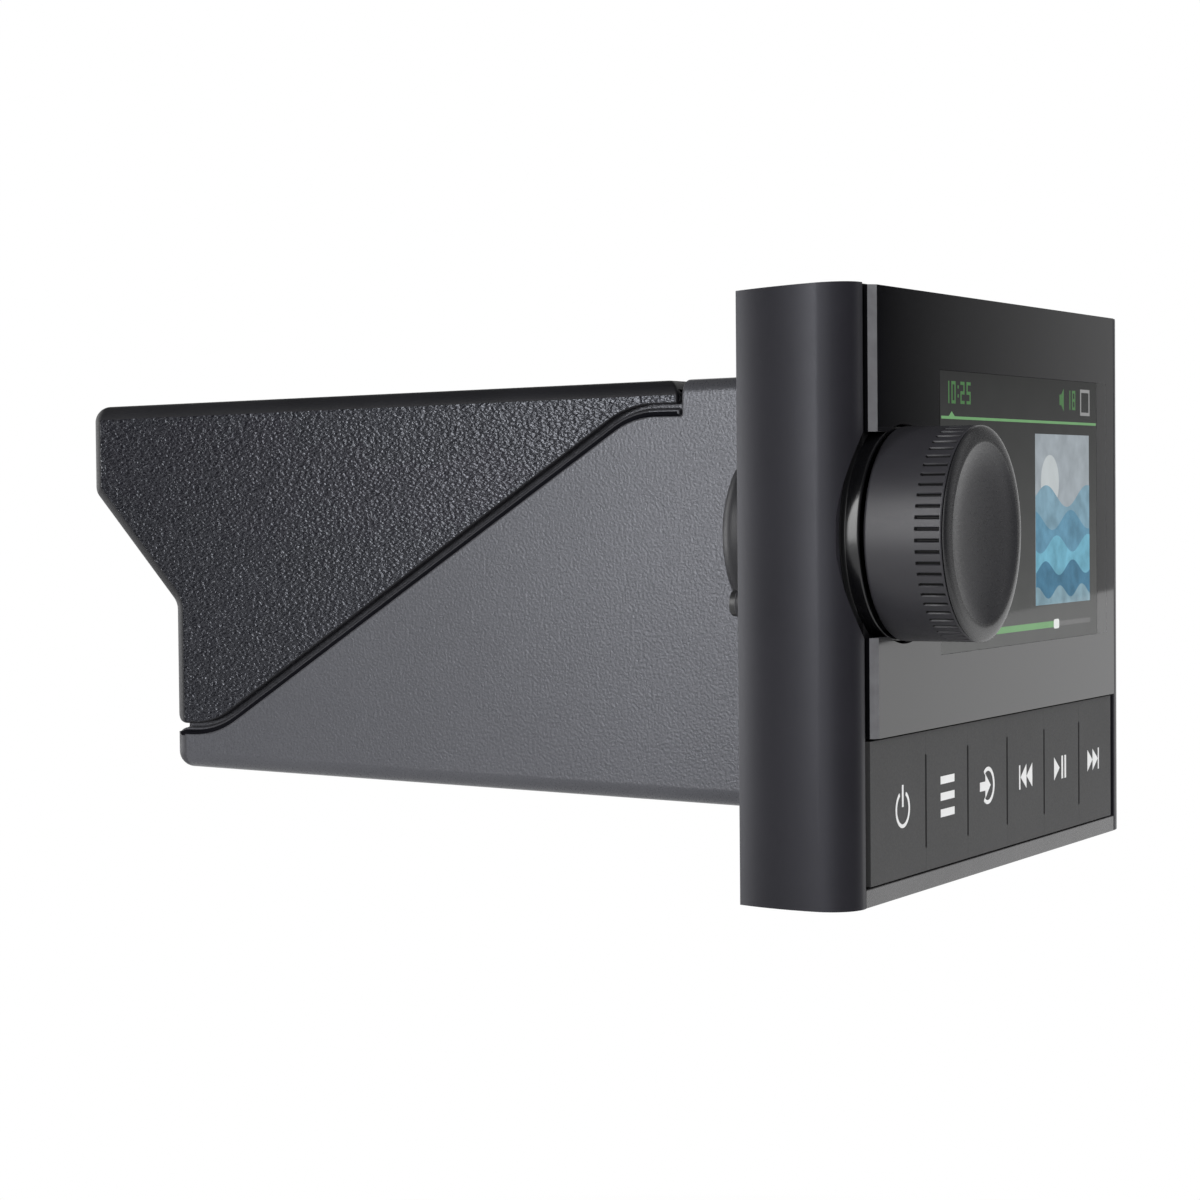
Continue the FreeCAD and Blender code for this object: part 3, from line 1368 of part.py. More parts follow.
def make_rear_cover():
    body = new_body("rear_cover")
    side = CHASSIS_SIDE
    front = S.split_y + S.split_gap / 2
    edge = split_line(front, S.split_gap / 2)
    low_rear = S.lower_depth
    high_rear = UPPER_DEPTH
    pad(body, "x", -side, side, outline(
        *edge,
        (low_rear, edge[-1][1]),
        (low_rear, SLOPE_Z),
        (high_rear, OVERHANG_Z),
        (high_rear, top_at(high_rear)),
        (front, top_at(front)),
    ))
    round_edges(body, S.edge_radius, across_at(low_rear, SLOPE_Z),
                across_at(high_rear, OVERHANG_Z), across_at(high_rear, top_at(high_rear)))
    round_edges(body, S.edge_radius, outer_rim)
    hollow_cover(body, front)
    add_tongues(body)
    add_amp_bosses(body)
    cut_sockets(body)
    depth = top_screw_depth()
    places = (-AMP_SCREW_X, AMP_SCREW_X)
    pocket(body, "z", SPLIT_HIGH, S.chassis_top, *[circle(x, depth, S.screw_hole) for x in places])
    pocket(body, "z", top_at(depth) - S.head_height, S.chassis_top,
           *[circle(x, depth, S.head_radius + S.fit_gap) for x in places])


def outer_rim(edge):
    """Picks the cover's long top edges, its rear uprights and the edges of the slope."""
    spots = [vertex.Point for vertex in edge.Vertexes]
    on_side = all(near(abs(spot.x), CHASSIS_SIDE) for spot in spots)
    on_top = all(near(spot.z, top_at(spot.y)) for spot in spots)
    behind = all(spot.y > S.lower_depth.number - 0.1 for spot in spots)
    return len(spots) == 2 and on_side and (on_top or behind)


def hollow_cover(body, front):
    past = S.cut_past
    wall = S.cover_wall
    inner = CHASSIS_SIDE - wall
    high = SPLIT_HIGH - past
    low = SPLIT_LOW - past
    low_rear = S.lower_depth - wall
    high_rear = UPPER_DEPTH - wall
    pocket(body, "x", -inner, inner, outline(
        (front - past, high),
        (S.bend_front, high),
        (BEND_REAR, low),
        (low_rear, low),
        (low_rear, SLOPE_Z + wall / 2),
        (high_rear, OVERHANG_Z + wall / 2),
        (high_rear, top_at(high_rear, wall)),
        (front - past, top_at(front - past, wall)),
    ))


def top_screw_depth():
    return S.split_y + S.lap_width + S.split_gap / 2


def add_tongues(body):
    """Two tongues that reach down behind the chassis' rear strip for the rear screws."""
    sunk = S.lower_depth - S.cover_wall / 2
    low = base_at(TONGUE_BACK, S.chassis_wall) + 2 * S.fit_gap
    step = SPLIT_LOW + S.split_gap
    high = step + S.tongue_grip
    half = S.tongue_width / 2
    profile = outline(
        (TONGUE_FRONT, low), (TONGUE_BACK, low), (TONGUE_BACK, step), (sunk, step), (sunk, high),
        (TONGUE_FRONT, high),
    )
    places = (-S.tongue_x, S.tongue_x)
    for x in places:
        pad(body, "x", x - half, x + half, profile)
    pocket(body, "y", TONGUE_FRONT, TONGUE_BACK, *[circle(x, rear_screw_height(), PILOT) for x in places])


def add_amp_bosses(body):
    for x, y in amp_screws():
        pad(body, "z", AMP_TOP, top_at(y, S.cover_wall / 2), circle(x, y, S.board_boss_radius))
    pocket(body, "z", AMP_TOP, AMP_TOP + S.thread_grip + S.thread_room,
           *[circle(x, y, PILOT) for x, y in amp_screws()])


# Rear sockets

ETHERNET_TOP = BOARD_TOP + S.ethernet_height
PREOUT_LEVEL = ETHERNET_TOP + S.preout_clearance + S.preout_radius
PREOUT_PLACES = [S.preout_first + index * S.preout_pitch for index in range(int(S.preout_count.number))]
NETWORK_LEVEL = BOARD_TOP + S.network_height
ANTENNA_LEVEL = BOARD_TOP + S.antenna_height
VENT_LEVEL = BOARD_TOP + S.vent_height


def cut_sockets(body):
    gap = S.socket_gap
    holes = []
    for middle, width, height in ((S.ethernet_x, S.ethernet_width, S.ethernet_height),
                                  (S.usb_x, S.usb_width, S.usb_height),
                                  (S.power_x, S.power_width, S.power_height)):
        half = width / 2 + gap
        holes.append(rectangle(middle - half, middle + half, BOARD_TOP, BOARD_TOP + height + gap))
    for x in PREOUT_PLACES:
        holes.append(circle(x, PREOUT_LEVEL, S.preout_radius + gap))
    holes.append(circle(S.network_x, NETWORK_LEVEL, S.network_radius + gap))
    holes.append(circle(S.antenna_x, ANTENNA_LEVEL, S.antenna_radius + gap))
    holes.append(circle(S.vent_x, VENT_LEVEL, S.vent_radius + gap))
    past = S.cut_past
    pocket(body, "y", S.lower_depth - S.cover_wall - past, S.lower_depth + past, *holes)


def make_box_socket(label, middle, width, height, depth, mouth_width, mouth_height, mouth_depth):
    """Block on the main board with a rectangular mouth in its rear face."""
    body = new_body(label)
    pad(body, "y", REAR_FACE - depth, REAR_FACE,
        rectangle(middle - width / 2, middle + width / 2, BOARD_TOP, BOARD_TOP + height))
    half = mouth_width / 2
    rise = mouth_height / 2
    level = BOARD_TOP + height / 2
    pocket(body, "y", REAR_FACE - mouth_depth, REAR_FACE,
           rectangle(middle - half, middle + half, level - rise, level + rise))
    return body


def make_rear_sockets():
    make_box_socket("ethernet_socket", S.ethernet_x, S.ethernet_width, S.ethernet_height,
                    S.ethernet_depth, S.ethernet_mouth_width, S.ethernet_mouth_height,
                    S.ethernet_mouth_depth)
    usb = make_box_socket("usb_socket", S.usb_x, S.usb_width, S.usb_height, S.usb_depth,
                          S.usb_mouth_width, S.usb_mouth_height, S.usb_mouth_depth)
    half = S.usb_tongue_width / 2
    rise = S.usb_tongue_height / 2
    level = BOARD_TOP + S.usb_height / 2
    pad(usb, "y", REAR_FACE - S.usb_mouth_depth - S.cut_past, REAR_FACE - S.usb_tongue_gap,
        rectangle(S.usb_x - half, S.usb_x + half, level - rise, level + rise))
    make_box_socket("power_socket", S.power_x, S.power_width, S.power_height, S.power_depth,
                    S.power_mouth_width, S.power_mouth_height, S.power_mouth_depth)
    make_power_pins()
    make_network_socket()
    make_antenna_socket()
    make_preout_sockets()
    make_vent()


def make_power_pins():
    columns = int(S.pin_columns.number)
    level = BOARD_TOP + S.power_height / 2
    start = REAR_FACE - S.power_mouth_depth
    pins = []
    for column in range(columns):
        x = S.power_x + (column - (columns - 1) / 2) * S.pin_pitch
        for row in (-1, 1):
            z = level + row * S.pin_rows / 2
            pins.append(rod("y", S.pin_radius, start, start + S.pin_length, x, z))
    keep(group(pins), "power_pins")


def make_network_socket():
    """Round screw-in socket with five pins, its foot on the main board."""
    body = new_body("network_socket", S.network_x, 0.0, NETWORK_LEVEL)
    radius = S.network_radius
    flange = radius + S.network_flange
    face = S.lower_depth
    flange_back = face + S.network_flange_depth
    front = face - S.network_inside
    rear = face + S.network_proud
    bore = radius - S.network_wall
    floor = rear - S.network_mouth_depth
    turn(body,
         (0.0, front), (radius, front), (radius, face), (flange, face), (flange, flange_back),
         (radius, flange_back), (radius, rear), (bore, rear), (bore, floor), (0.0, floor))
    pad(body, "z", -S.network_height, 0.0, rectangle(-radius, radius, front, front + S.network_foot))
    ring = S.network_pin_ring
    pins = [circle(0.0, 0.0, S.pin_radius)]
    for step in range(4):
        angle = Size(45.0 + 90.0 * step, f"{45.0 + 90.0 * step}")
        pins.append(circle(ring * cosine(angle), ring * sine(angle), S.pin_radius))
    pad(body, "y", floor - S.cut_past, floor - S.cut_past + S.network_pin_length, *pins)


def make_antenna_socket():
    body = new_body("antenna_socket", S.antenna_x, 0.0, ANTENNA_LEVEL)
    radius = S.antenna_radius
    front = S.lower_depth - S.antenna_inside
    collar = S.lower_depth + S.antenna_collar
    rear = S.lower_depth + S.antenna_proud
    neck = radius - S.antenna_step
    core = S.antenna_bore
    floor = rear - S.antenna_mouth_depth
    turn(body,
         (0.0, front), (radius, front), (radius, collar), (neck, collar), (neck, rear),
         (core, rear), (core, floor), (0.0, floor))
    pad(body, "z", -S.antenna_height, 0.0, rectangle(-radius, radius, front, front + S.antenna_foot))


def make_preout_sockets():
    """Row of phono sockets on one block in front of the other sockets."""
    reach = S.preout_radius + S.preout_block_margin
    back = REAR_FACE - S.ethernet_depth - S.preout_block_gap
    front = back - S.preout_block_depth
    body = new_body("preout_sockets")
    pad(body, "y", front, back,
        rectangle(PREOUT_PLACES[0] - reach, PREOUT_PLACES[-1] + reach, BOARD_TOP, PREOUT_LEVEL + reach))
    rear = S.lower_depth + S.preout_proud
    pad(body, "y", back - S.cut_past, rear,
        *[circle(x, PREOUT_LEVEL, S.preout_radius) for x in PREOUT_PLACES])
    pocket(body, "y", rear - S.preout_mouth_depth, rear,
           *[circle(x, PREOUT_LEVEL, S.preout_bore) for x in PREOUT_PLACES])


def make_vent():
    vent = new_body("breather_vent", S.vent_x, 0.0, VENT_LEVEL)
    radius = S.vent_radius
    flange = radius + S.vent_flange
    inside = S.lower_depth - S.cover_wall
    face = S.lower_depth
    turn(vent,
         (0.0, inside), (radius, inside), (radius, face), (flange, face),
         (flange, face + S.vent_flange_depth), (radius, REAR_FACE), (0.0, REAR_FACE))


# Boards and parts inside the chassis

def make_main_board():
    body = new_body("main_board")
    pad(body, "z", BOARD_UNDER, BOARD_TOP, rectangle(-BOARD_HALF, BOARD_HALF, BOARD_FRONT, BOARD_REAR))
    pocket(body, "z", BOARD_UNDER, BOARD_TOP, *[circle(x, y, S.screw_hole) for x, y in board_screws()])
    length = S.board_thickness + S.thread_grip
    keep(group([screw("z", BOARD_TOP, -1, length, x, y) for x, y in board_screws()]), "board_screws")


def make_amplifier():
    body = new_body("amplifier_board")
    pad(body, "z", AMP_UNDER, AMP_TOP, rectangle(-AMP_HALF, AMP_HALF, S.amp_front, S.amp_rear))
    pocket(body, "z", AMP_UNDER, AMP_TOP, *[circle(x, y, S.screw_hole) for x, y in amp_screws()])
    length = S.board_thickness + S.thread_grip
    keep(group([screw("z", AMP_UNDER, 1, length, x, y) for x, y in amp_screws()]), "amplifier_screws")
    chip_top = AMP_TOP + S.chip_height
    half = S.chip_width / 2
    front = S.chip_y - S.chip_depth / 2
    back = S.chip_y + S.chip_depth / 2
    chips = [block(x - half, x + half, front, back, AMP_TOP, chip_top) for x in (-S.chip_x, S.chip_x)]
    keep(group(chips), "amplifier_chips")
    spreader = new_body("heat_spreader")
    front = S.chip_y - S.spreader_depth / 2
    back = S.chip_y + S.spreader_depth / 2
    reach = S.spreader_width / 2
    pad(spreader, "x", -reach, reach, outline(
        (front, chip_top), (back, chip_top),
        (back, top_at(back, S.cover_wall)), (front, top_at(front, S.cover_wall))))


def board_part(x, y, width, depth, height, inset=0.0):
    """Block on the main board round a middle point, or its hollow with an inset."""
    left = x - width / 2 + inset
    right = x + width / 2 - inset
    front = y - depth / 2 + inset
    back = y + depth / 2 - inset
    return block(left, right, front, back, BOARD_TOP, BOARD_TOP + height - inset)


def make_parts_on_main_board():
    shield = (S.shield_x, S.shield_y, S.shield_width, S.shield_depth, S.shield_height)
    keep(carve(board_part(*shield), board_part(*shield, S.shield_sheet)), "processor_shield")
    keep(board_part(S.module_x, S.module_y, S.module_width, S.module_depth, S.module_height),
         "wireless_module")
    keep(board_part(S.tuner_x, S.tuner_y, S.tuner_width, S.tuner_depth, S.tuner_height), "tuner_can")
    cans = []
    for index in range(int(S.capacitor_count.number)):
        x = S.capacitor_first + index * S.capacitor_pitch
        cans.append(rod("z", S.capacitor_radius, BOARD_TOP, BOARD_TOP + S.capacitor_height, x, S.capacitor_y))
    keep(group(cans), "capacitors")
    coils = []
    for index in range(2):
        coil = doc.addObject("Part::Torus", "Coil")
        bind(coil, "Radius1", S.coil_radius)
        bind(coil, "Radius2", S.coil_thickness)
        coils.append(put(coil, S.coil_x, S.coil_first + index * S.coil_pitch, BOARD_TOP + S.coil_thickness))
    keep(group(coils), "choke_coils")
    front = S.amp_front + S.amp_screw_inset + S.head_radius + S.riser_gap
    keep(block(S.riser_x, S.riser_x + S.board_thickness, front, front + S.riser_depth,
               BOARD_TOP, AMP_UNDER), "riser_board")


def make_ribbon():
    """Flat cable from the front board to the main board, and its two sockets."""
    sheet = S.ribbon_sheet
    level = S.ribbon_level
    deep = S.ribbon_socket_depth
    tall = S.ribbon_socket_height
    half = S.ribbon_socket_width / 2
    start = FRONT_BOARD_BACK + deep
    top = BOARD_TOP + deep
    low = level - sheet / 2 - tall / 2
    near_end = S.ribbon_landing - sheet / 2 - tall / 2
    front_socket = block(-half, half, FRONT_BOARD_BACK, start, low, low + tall)
    rear_socket = block(-half, half, near_end, near_end + tall, BOARD_TOP, top)
    keep(group([front_socket, rear_socket]), "ribbon_sockets")
    body = new_body("ribbon_cable")
    reach = S.ribbon_width / 2
    drop = S.ribbon_drop
    landing = S.ribbon_landing
    pad(body, "x", -reach, reach, outline(
        (start, level), (drop, level), (landing, top), (landing - sheet, top),
        (drop - sheet, level - sheet), (start, level - sheet)))


def make_case_screws():
    length = bezel_screw_length()
    keep(group([screw("y", BEZEL_SCREW_SEAT, -1, length, x, z) for x, z in bezel_screws()]), "bezel_screws")
    length = S.frame_thickness + S.post_depth - 2 * S.thread_room
    keep(group([screw("y", FRAME_FRONT, 1, length, x, z) for x, z in frame_screws()]), "frame_screws")
    length = S.chassis_wall + S.fit_gap + S.cover_wall + S.thread_room
    z = rear_screw_height()
    rear = [screw("y", S.lower_depth, -1, length, x, z) for x in (-S.tongue_x, S.tongue_x)]
    seat = top_at(top_screw_depth()) - S.head_height
    length = S.cover_wall - S.head_height + 2 * S.fit_gap + S.lap_thickness + S.thread_room
    upper = [screw("z", seat, -1, length, x, top_screw_depth()) for x in (-AMP_SCREW_X, AMP_SCREW_X)]
    keep(group(rear + upper), "cover_screws")


def write_pieces():
    """Check every object, then write one file per piece."""
    doc.recompute()
    for thing in doc.Objects:
        if "Invalid" in thing.State or "Error" in thing.State:
            raise RuntimeError(f"{thing.Name} ({thing.Label}) failed: {thing.State}")
    os.makedirs("parts", exist_ok=True)
    for piece in PIECES:
        shape = piece.Shape
        if shape.isNull() or not shape.isValid():
            raise RuntimeError(piece.Label + " has no valid shape")
        shape.exportStep(f"parts/{piece.Label}.step")
        print(f"{piece.Label}: {len(shape.Solids)} solids, {shape.Volume:.1f} cubic mm")


make_bezel()
make_mounting_frame()
make_panel_gasket()
make_side_cap("side_cap_left", -1, True)
make_side_cap("side_cap_right", 1, False)
make_front_glass()
make_glass_tape()
make_display()
for key in range(len(KEY_NAMES)):
    make_key(key)
make_key_mat()
make_key_switches()
make_front_board()
make_knob_sleeve()
make_knob_cap()
make_knob_ring()
make_encoder()
make_encoder_housing()
make_chassis()
make_rear_cover()
make_rear_sockets()
make_main_board()
make_amplifier()
make_parts_on_main_board()
make_ribbon()
make_case_screws()
write_pieces()
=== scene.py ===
import math

import bmesh
import bpy
from mathutils import Matrix, Vector


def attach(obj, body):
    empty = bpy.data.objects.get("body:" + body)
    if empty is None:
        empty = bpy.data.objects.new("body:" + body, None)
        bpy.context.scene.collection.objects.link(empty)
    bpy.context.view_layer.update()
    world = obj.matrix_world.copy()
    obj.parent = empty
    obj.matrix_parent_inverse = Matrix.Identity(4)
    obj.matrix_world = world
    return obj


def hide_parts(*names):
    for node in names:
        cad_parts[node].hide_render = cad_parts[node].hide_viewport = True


# Looks of a flush-mounted marine stereo. Lengths of the unit are millimetres in the row
# frame: X right, Y back into the dashboard, Z up, origin in the middle of the panel's rear
# face. The studio round it is in metres.

MM = 0.001

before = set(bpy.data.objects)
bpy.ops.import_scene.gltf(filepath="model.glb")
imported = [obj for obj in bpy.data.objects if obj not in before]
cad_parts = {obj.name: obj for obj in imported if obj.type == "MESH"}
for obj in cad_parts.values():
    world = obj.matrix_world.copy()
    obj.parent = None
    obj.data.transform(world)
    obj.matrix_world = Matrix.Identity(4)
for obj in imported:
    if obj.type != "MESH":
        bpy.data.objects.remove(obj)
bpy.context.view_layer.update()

# Panel and side caps
PANEL_SIDE = 77.5
PANEL_HALF = 56.25
PANEL_FRONT = -23.2
TOP_FALL = 0.9  # drop of the caps' top edge towards the dashboard
VALLEY_FLOOR = -19.7
CAP_INNER = 70.3
CAP_EDGE = 68.4
CAP_CORNER = 6.3
CAP_FLANK = -16.9  # where the corner's arc ends and the bowed flank begins
CAP_REAR = 74.12
FLANK_RADIUS = 44.0
RECESS_RADIUS = 22.8
RECESS_FLOOR = -20.4
RECESS_FLARE = 1.12  # mouth of the recess to its floor
LIP_TOP = -52.95

# Cover glass
GLASS_SIDE = 68.0
GLASS_TOP = 56.0
GLASS_LOW = -25.8
GLASS_FRONT = -24.5
GLASS_BACK = -22.53  # just in front of the display
GLASS_BEVEL = 1.3
BAY_RADIUS = 20.2
BAY_HALF = 18.6
SCREEN = (-31.0, 61.1, -12.4, 41.8)  # left, right, low, high
CLEAR = (-36.1, 61.6, -12.2, 41.7)  # clear part of the front face
CLEAR_SPLIT = 55.4  # from here to the right it mirrors more

# Knob
KNOB_X = -53.8
KNOB_Z = 11.0
KNOB_RADIUS = 19.7
SLEEVE_REAR = -24.3
SLEEVE_FRONT = -39.2
NOTCHES = 60
STEPS_PER_NOTCH = 16
NOTCH_DEPTHS = {5: 0.25, 6: 0.45, 7: 0.45, 8: 0.45, 9: 0.25}  # by step
# steps round each notch whose floor is painted black as shade
NOTCH_SHADE_STEPS = (5, 6, 7, 8)
RIM_WIDTH = 2.9
RIM_RISE = 0.8
RIM_BASE = -39.5
RING_FLANGE_TOP = -20.9

# Keys
KEY_NAMES = ["power", "menu", "source", "previous", "play", "next"]
KEY_TOP = -26.3
KEY_LOW = -52.6
KEY_BACK = -20.4
KEY_SEAMS = [2.9 + 21.95 * step for step in range(-2, 3)]
SEAM_HALF = 0.02
GROOVE_HALF = 0.42
GROOVE_REACH = 9.0  # half of a groove's length
SIGN_Z = -39.4

# Case
LEDGE_SIDE = 59.1
CASE_SIDE = 59.9
SPLIT_HIGH = 38.0


# Materials

class Nodes:
    """A material's node tree with short calls for the nodes used here."""

    def __init__(self, name):
        self.material = bpy.data.materials.new(name)
        self.material.use_nodes = True
        self.tree = self.material.node_tree
        self.shader = self.tree.nodes["Principled BSDF"]
        self.place = self.tree.nodes.new("ShaderNodeTexCoord").outputs["Object"]

    def add(self, kind, **values):
        node = self.tree.nodes.new(kind)
        for key, value in values.items():
            if hasattr(node, key):
                setattr(node, key, value)
            else:
                node.inputs[key.replace("_", " ")].default_value = value
        return node

    def link(self, start, end):
        self.tree.links.new(start, end)

    def set(self, values):
        """Constant values of the shader, by the names of its sockets."""
        for key, value in values.items():
            self.shader.inputs[key.replace("_", " ")].default_value = value

    def show(self, output):
        """Take the surface from this output instead of the shader."""
        self.link(output, self.tree.nodes["Material Output"].inputs["Surface"])

    def noise(self, size, detail=2.0, rough=0.5, place=None, twist=0.0):
        """Noise whose features are about size millimetres across."""
        node = self.add("ShaderNodeTexNoise", Scale=1.0 / (size * MM), Detail=detail,
                        Roughness=rough, Distortion=twist)
        self.link(place or self.place, node.inputs["Vector"])
        return node.outputs["Fac"]

    def spread(self, source, low, high, start=0.3, end=0.7):
        """Map a source value from start..end to low..high."""
        node = self.add("ShaderNodeMapRange")
        ends = (("From Min", start), ("From Max", end), ("To Min", low), ("To Max", high))
        for key, value in ends:
            node.inputs[key].default_value = value
        self.link(source, node.inputs["Value"])
        return node.outputs["Result"]

    def blend(self, factor, dark, light):
        node = self.add("ShaderNodeMix", data_type="RGBA")
        self.link(factor, node.inputs["Factor"])
        for key, colour in (("A", dark), ("B", light)):
            socket = [item for item in node.inputs if item.name == key and item.type == "RGBA"][0]
            socket.default_value = (*colour, 1.0)
        return [item for item in node.outputs if item.type == "RGBA"][0]

    def cloud(self, size, colour, patch):
        """Colour that wanders by a share of itself in patches of about size millimetres."""
        dark = [part * (1.0 - patch) for part in colour]
        light = [min(part * (1.0 + patch), 1.0) for part in colour]
        return self.blend(self.spread(self.noise(size, 3.0), 0.0, 1.0), dark, light)

    def along(self, axis):
        """The place's own coordinate along an axis."""
        parts = self.add("ShaderNodeSeparateXYZ")
        self.link(self.place, parts.inputs[0])
        return parts.outputs[axis]

    def bump(self, height, strength, distance, base=None):
        """Relief of a height map, distance in millimetres."""
        node = self.add("ShaderNodeBump", Strength=strength, Distance=distance * MM)
        self.link(height, node.inputs["Height"])
        if base:
            self.link(base, node.inputs["Normal"])
        return node.outputs["Normal"]


def finish(name, colour, rough, patch=0.12, patch_size=14.0, rough_spread=0.05, grain=0.35,
           relief=(0.25, 0.02), coarse=None, twist=0.0, stretch=None, **fixed):
    """Surface with uneven colour and gloss, a fine grain and, where given, a coarser one.

    relief is the fine grain's strength and depth, coarse the other one's size, strength and
    depth. stretch scales the coarse grain along X, Y and Z. fixed holds shader values.
    """
    nodes = Nodes(name)
    shader = nodes.shader
    nodes.link(nodes.cloud(patch_size, colour, patch), shader.inputs["Base Color"])
    fine = nodes.noise(grain, 2.0)
    nodes.link(nodes.spread(fine, rough - rough_spread, rough + rough_spread),
               shader.inputs["Roughness"])
    normal = nodes.bump(fine, *relief)
    if coarse:
        size, strength, depth = coarse
        place = None
        if stretch:
            mapping = nodes.add("ShaderNodeMapping", Scale=stretch)
            nodes.link(nodes.place, mapping.inputs["Vector"])
            place = mapping.outputs["Vector"]
        normal = nodes.bump(nodes.noise(size, 1.5, 0.45, place, twist), strength, depth, normal)
    nodes.link(normal, shader.inputs["Normal"])
    nodes.set(fixed)
    return nodes.material


def glow(name, colour, patch=0.04, fade=1.0):
    """Lit part of the display, a little uneven. It is fade times as bright at the top."""
    nodes = Nodes(name)
    shader = nodes.shader
    nodes.set({"Base Color": (0.0, 0.0, 0.0, 1.0), "Roughness": 0.4, "Specular IOR Level": 0.0,
               "Emission Strength": 1.0})
    nodes.link(nodes.cloud(4.0, colour, patch), shader.inputs["Emission Color"])
    if fade != 1.0:
        low, high = SCREEN[2] * MM, SCREEN[3] * MM
        nodes.link(nodes.spread(nodes.along("Z"), 1.0, fade, low, high),
                   shader.inputs["Emission Strength"])
    return nodes.material


POLISH = {"Coat IOR": 1.58, "Coat Roughness": 0.035}


def clear_front(name, coat):
    """Front face of the cover glass: light passes straight through under a smooth coat."""
    nodes = Nodes(name)
    nodes.set({"Roughness": 0.0, "IOR": 1.0, "Transmission Weight": 1.0, "Coat Weight": coat,
               **POLISH})
    smear = nodes.spread(nodes.noise(30.0, 3.0), 0.0, 1.0)
    nodes.link(nodes.blend(smear, (0.95, 0.95, 0.96), (1.0, 1.0, 1.0)),
               nodes.shader.inputs["Base Color"])
    return nodes.material


COOL = (0.9, 0.92, 1.0, 1.0)
INK = (0.004, 0.004, 0.005)

PLASTIC = finish("panel_plastic", (0.016, 0.0155, 0.0192), 0.31, patch=0.08, rough_spread=0.03,
                 relief=(0.15, 0.01), coarse=(0.7, 0.15, 0.012), Specular_IOR_Level=0.2,
                 Specular_Tint=COOL)
# The bezel's lip is the caps' plastic painted lighter: a painted sheen that stands for the light
# mirrored on its front face.
LIP_PAINTED_SHEEN = finish("panel_plastic_lip_painted_sheen", (0.07, 0.069, 0.071), 0.28, coarse=(0.7, 0.15, 0.015))
FRAME_PLASTIC = finish("frame_plastic", (0.018, 0.018, 0.021), 0.42, coarse=(1.0, 0.2, 0.03),
                       Specular_IOR_Level=0.3)
# Painted shade: near black put on the floors of gaps, the knob's recess, the notches and the
# ring's flange, where shade falls.
PAINTED_SHADE = finish("painted_shade_black", (0.004, 0.004, 0.0045), 0.6, Specular_IOR_Level=0.15)
GLASS_EDGE = finish("cover_glass_edge", (0.13, 0.13, 0.138), 0.4, patch=0.1, patch_size=2.0,
                    coarse=(0.5, 0.25, 0.02), Specular_IOR_Level=0.3)
GLASS_CLEAR = clear_front("cover_glass_front", 0.35)
GLASS_SIDE_CLEAR = clear_front("cover_glass_front_side", 1.0)
SCREEN_GROUND = glow("screen_ground", (0.1, 0.102, 0.1), fade=0.33)
GLASS_PRINT = finish("cover_glass_print", INK, 0.5, relief=(0.0, 0.0), Specular_IOR_Level=0.0)
GLASS_BLACK = finish("cover_glass_black", INK, 0.5, relief=(0.0, 0.0), Specular_IOR_Level=0.0,
                     Coat_Weight=1.0, **POLISH)
KEY_RUBBER = finish("key_rubber", (0.05, 0.05, 0.051), 0.5, patch=0.05,
                    coarse=(0.6, 0.15, 0.02), Specular_IOR_Level=0.2)
SIGN_WHITE = finish("sign_white", (0.8, 0.8, 0.8), 0.5, patch=0.03)
KNOB_RUBBER = finish("knob_rubber", (0.0245, 0.024, 0.0285), 0.42, patch=0.06,
                     coarse=(0.5, 0.15, 0.015), Specular_IOR_Level=0.4)
KNOB_GLOSS = finish("knob_gloss", (0.013, 0.013, 0.0145), 0.28, relief=(0.05, 0.005),
                    rough_spread=0.04)
KNOB_FACE = finish("knob_face", (0.01, 0.01, 0.0125), 0.3, relief=(0.03, 0.003),
                   Specular_IOR_Level=0.32)
RING_GLOSS = finish("ring_gloss", (0.006, 0.006, 0.007), 0.22, relief=(0.02, 0.002),
                    rough_spread=0.02)
CHASSIS = finish("chassis_paint", (0.06, 0.061, 0.068), 0.3, patch=0.05, patch_size=30.0,
                 coarse=(0.55, 0.9, 0.06), Specular_IOR_Level=0.48, Specular_Tint=COOL)
# Painted shade: near black on the chassis's ledge and the faces beside it, in the groove under
# the cover.
LEDGE_PAINTED_SHADE = finish("chassis_ledge_painted_shade", (0.004, 0.004, 0.006), 0.7, relief=(0.1, 0.01),
               Specular_IOR_Level=0.03)
COVER = finish("cover_paint", (0.0045, 0.0045, 0.007), 0.2, grain=0.45, relief=(0.15, 0.01),
               coarse=(0.72, 1.0, 0.2), twist=0.3, stretch=(1.0, 0.8, 1.7),
               Specular_IOR_Level=0.52, Specular_Tint=(0.88, 0.91, 1.0, 1.0))
COVER_EDGE = finish("cover_edge", (0.01, 0.01, 0.012), 0.45, relief=(0.1, 0.01),
                    coarse=(1.0, 0.3, 0.05), Specular_IOR_Level=0.12)
CHASSIS_EDGE = finish("chassis_edge", (0.05, 0.05, 0.056), 0.5, patch=0.05, patch_size=30.0,
                      coarse=(0.55, 0.3, 0.03), Specular_IOR_Level=0.12)
SCREW_BLACK = finish("screw_black", (0.02, 0.02, 0.021), 0.4)
STEEL = finish("steel", (0.42, 0.42, 0.41), 0.38, Metallic=1.0)
SHEET_STEEL = finish("sheet_steel", (0.6, 0.6, 0.6), 0.35, Metallic=1.0)
BLACK_PLASTIC = finish("black_plastic", (0.015, 0.015, 0.016), 0.45)
SILICONE = finish("silicone", (0.03, 0.03, 0.03), 0.7)
BOARD = finish("board", (0.01, 0.09, 0.03), 0.3, coarse=(2.5, 0.2, 0.03))
BRASS = finish("contact_brass", (0.75, 0.6, 0.3), 0.25, Metallic=1.0)
COPPER = finish("copper", (0.6, 0.25, 0.1), 0.35, Metallic=1.0, coarse=(0.8, 0.6, 0.2))
ALUMINIUM = finish("aluminium", (0.7, 0.7, 0.71), 0.4, Metallic=1.0)
FOAM = finish("adhesive", (0.01, 0.01, 0.01), 0.8)
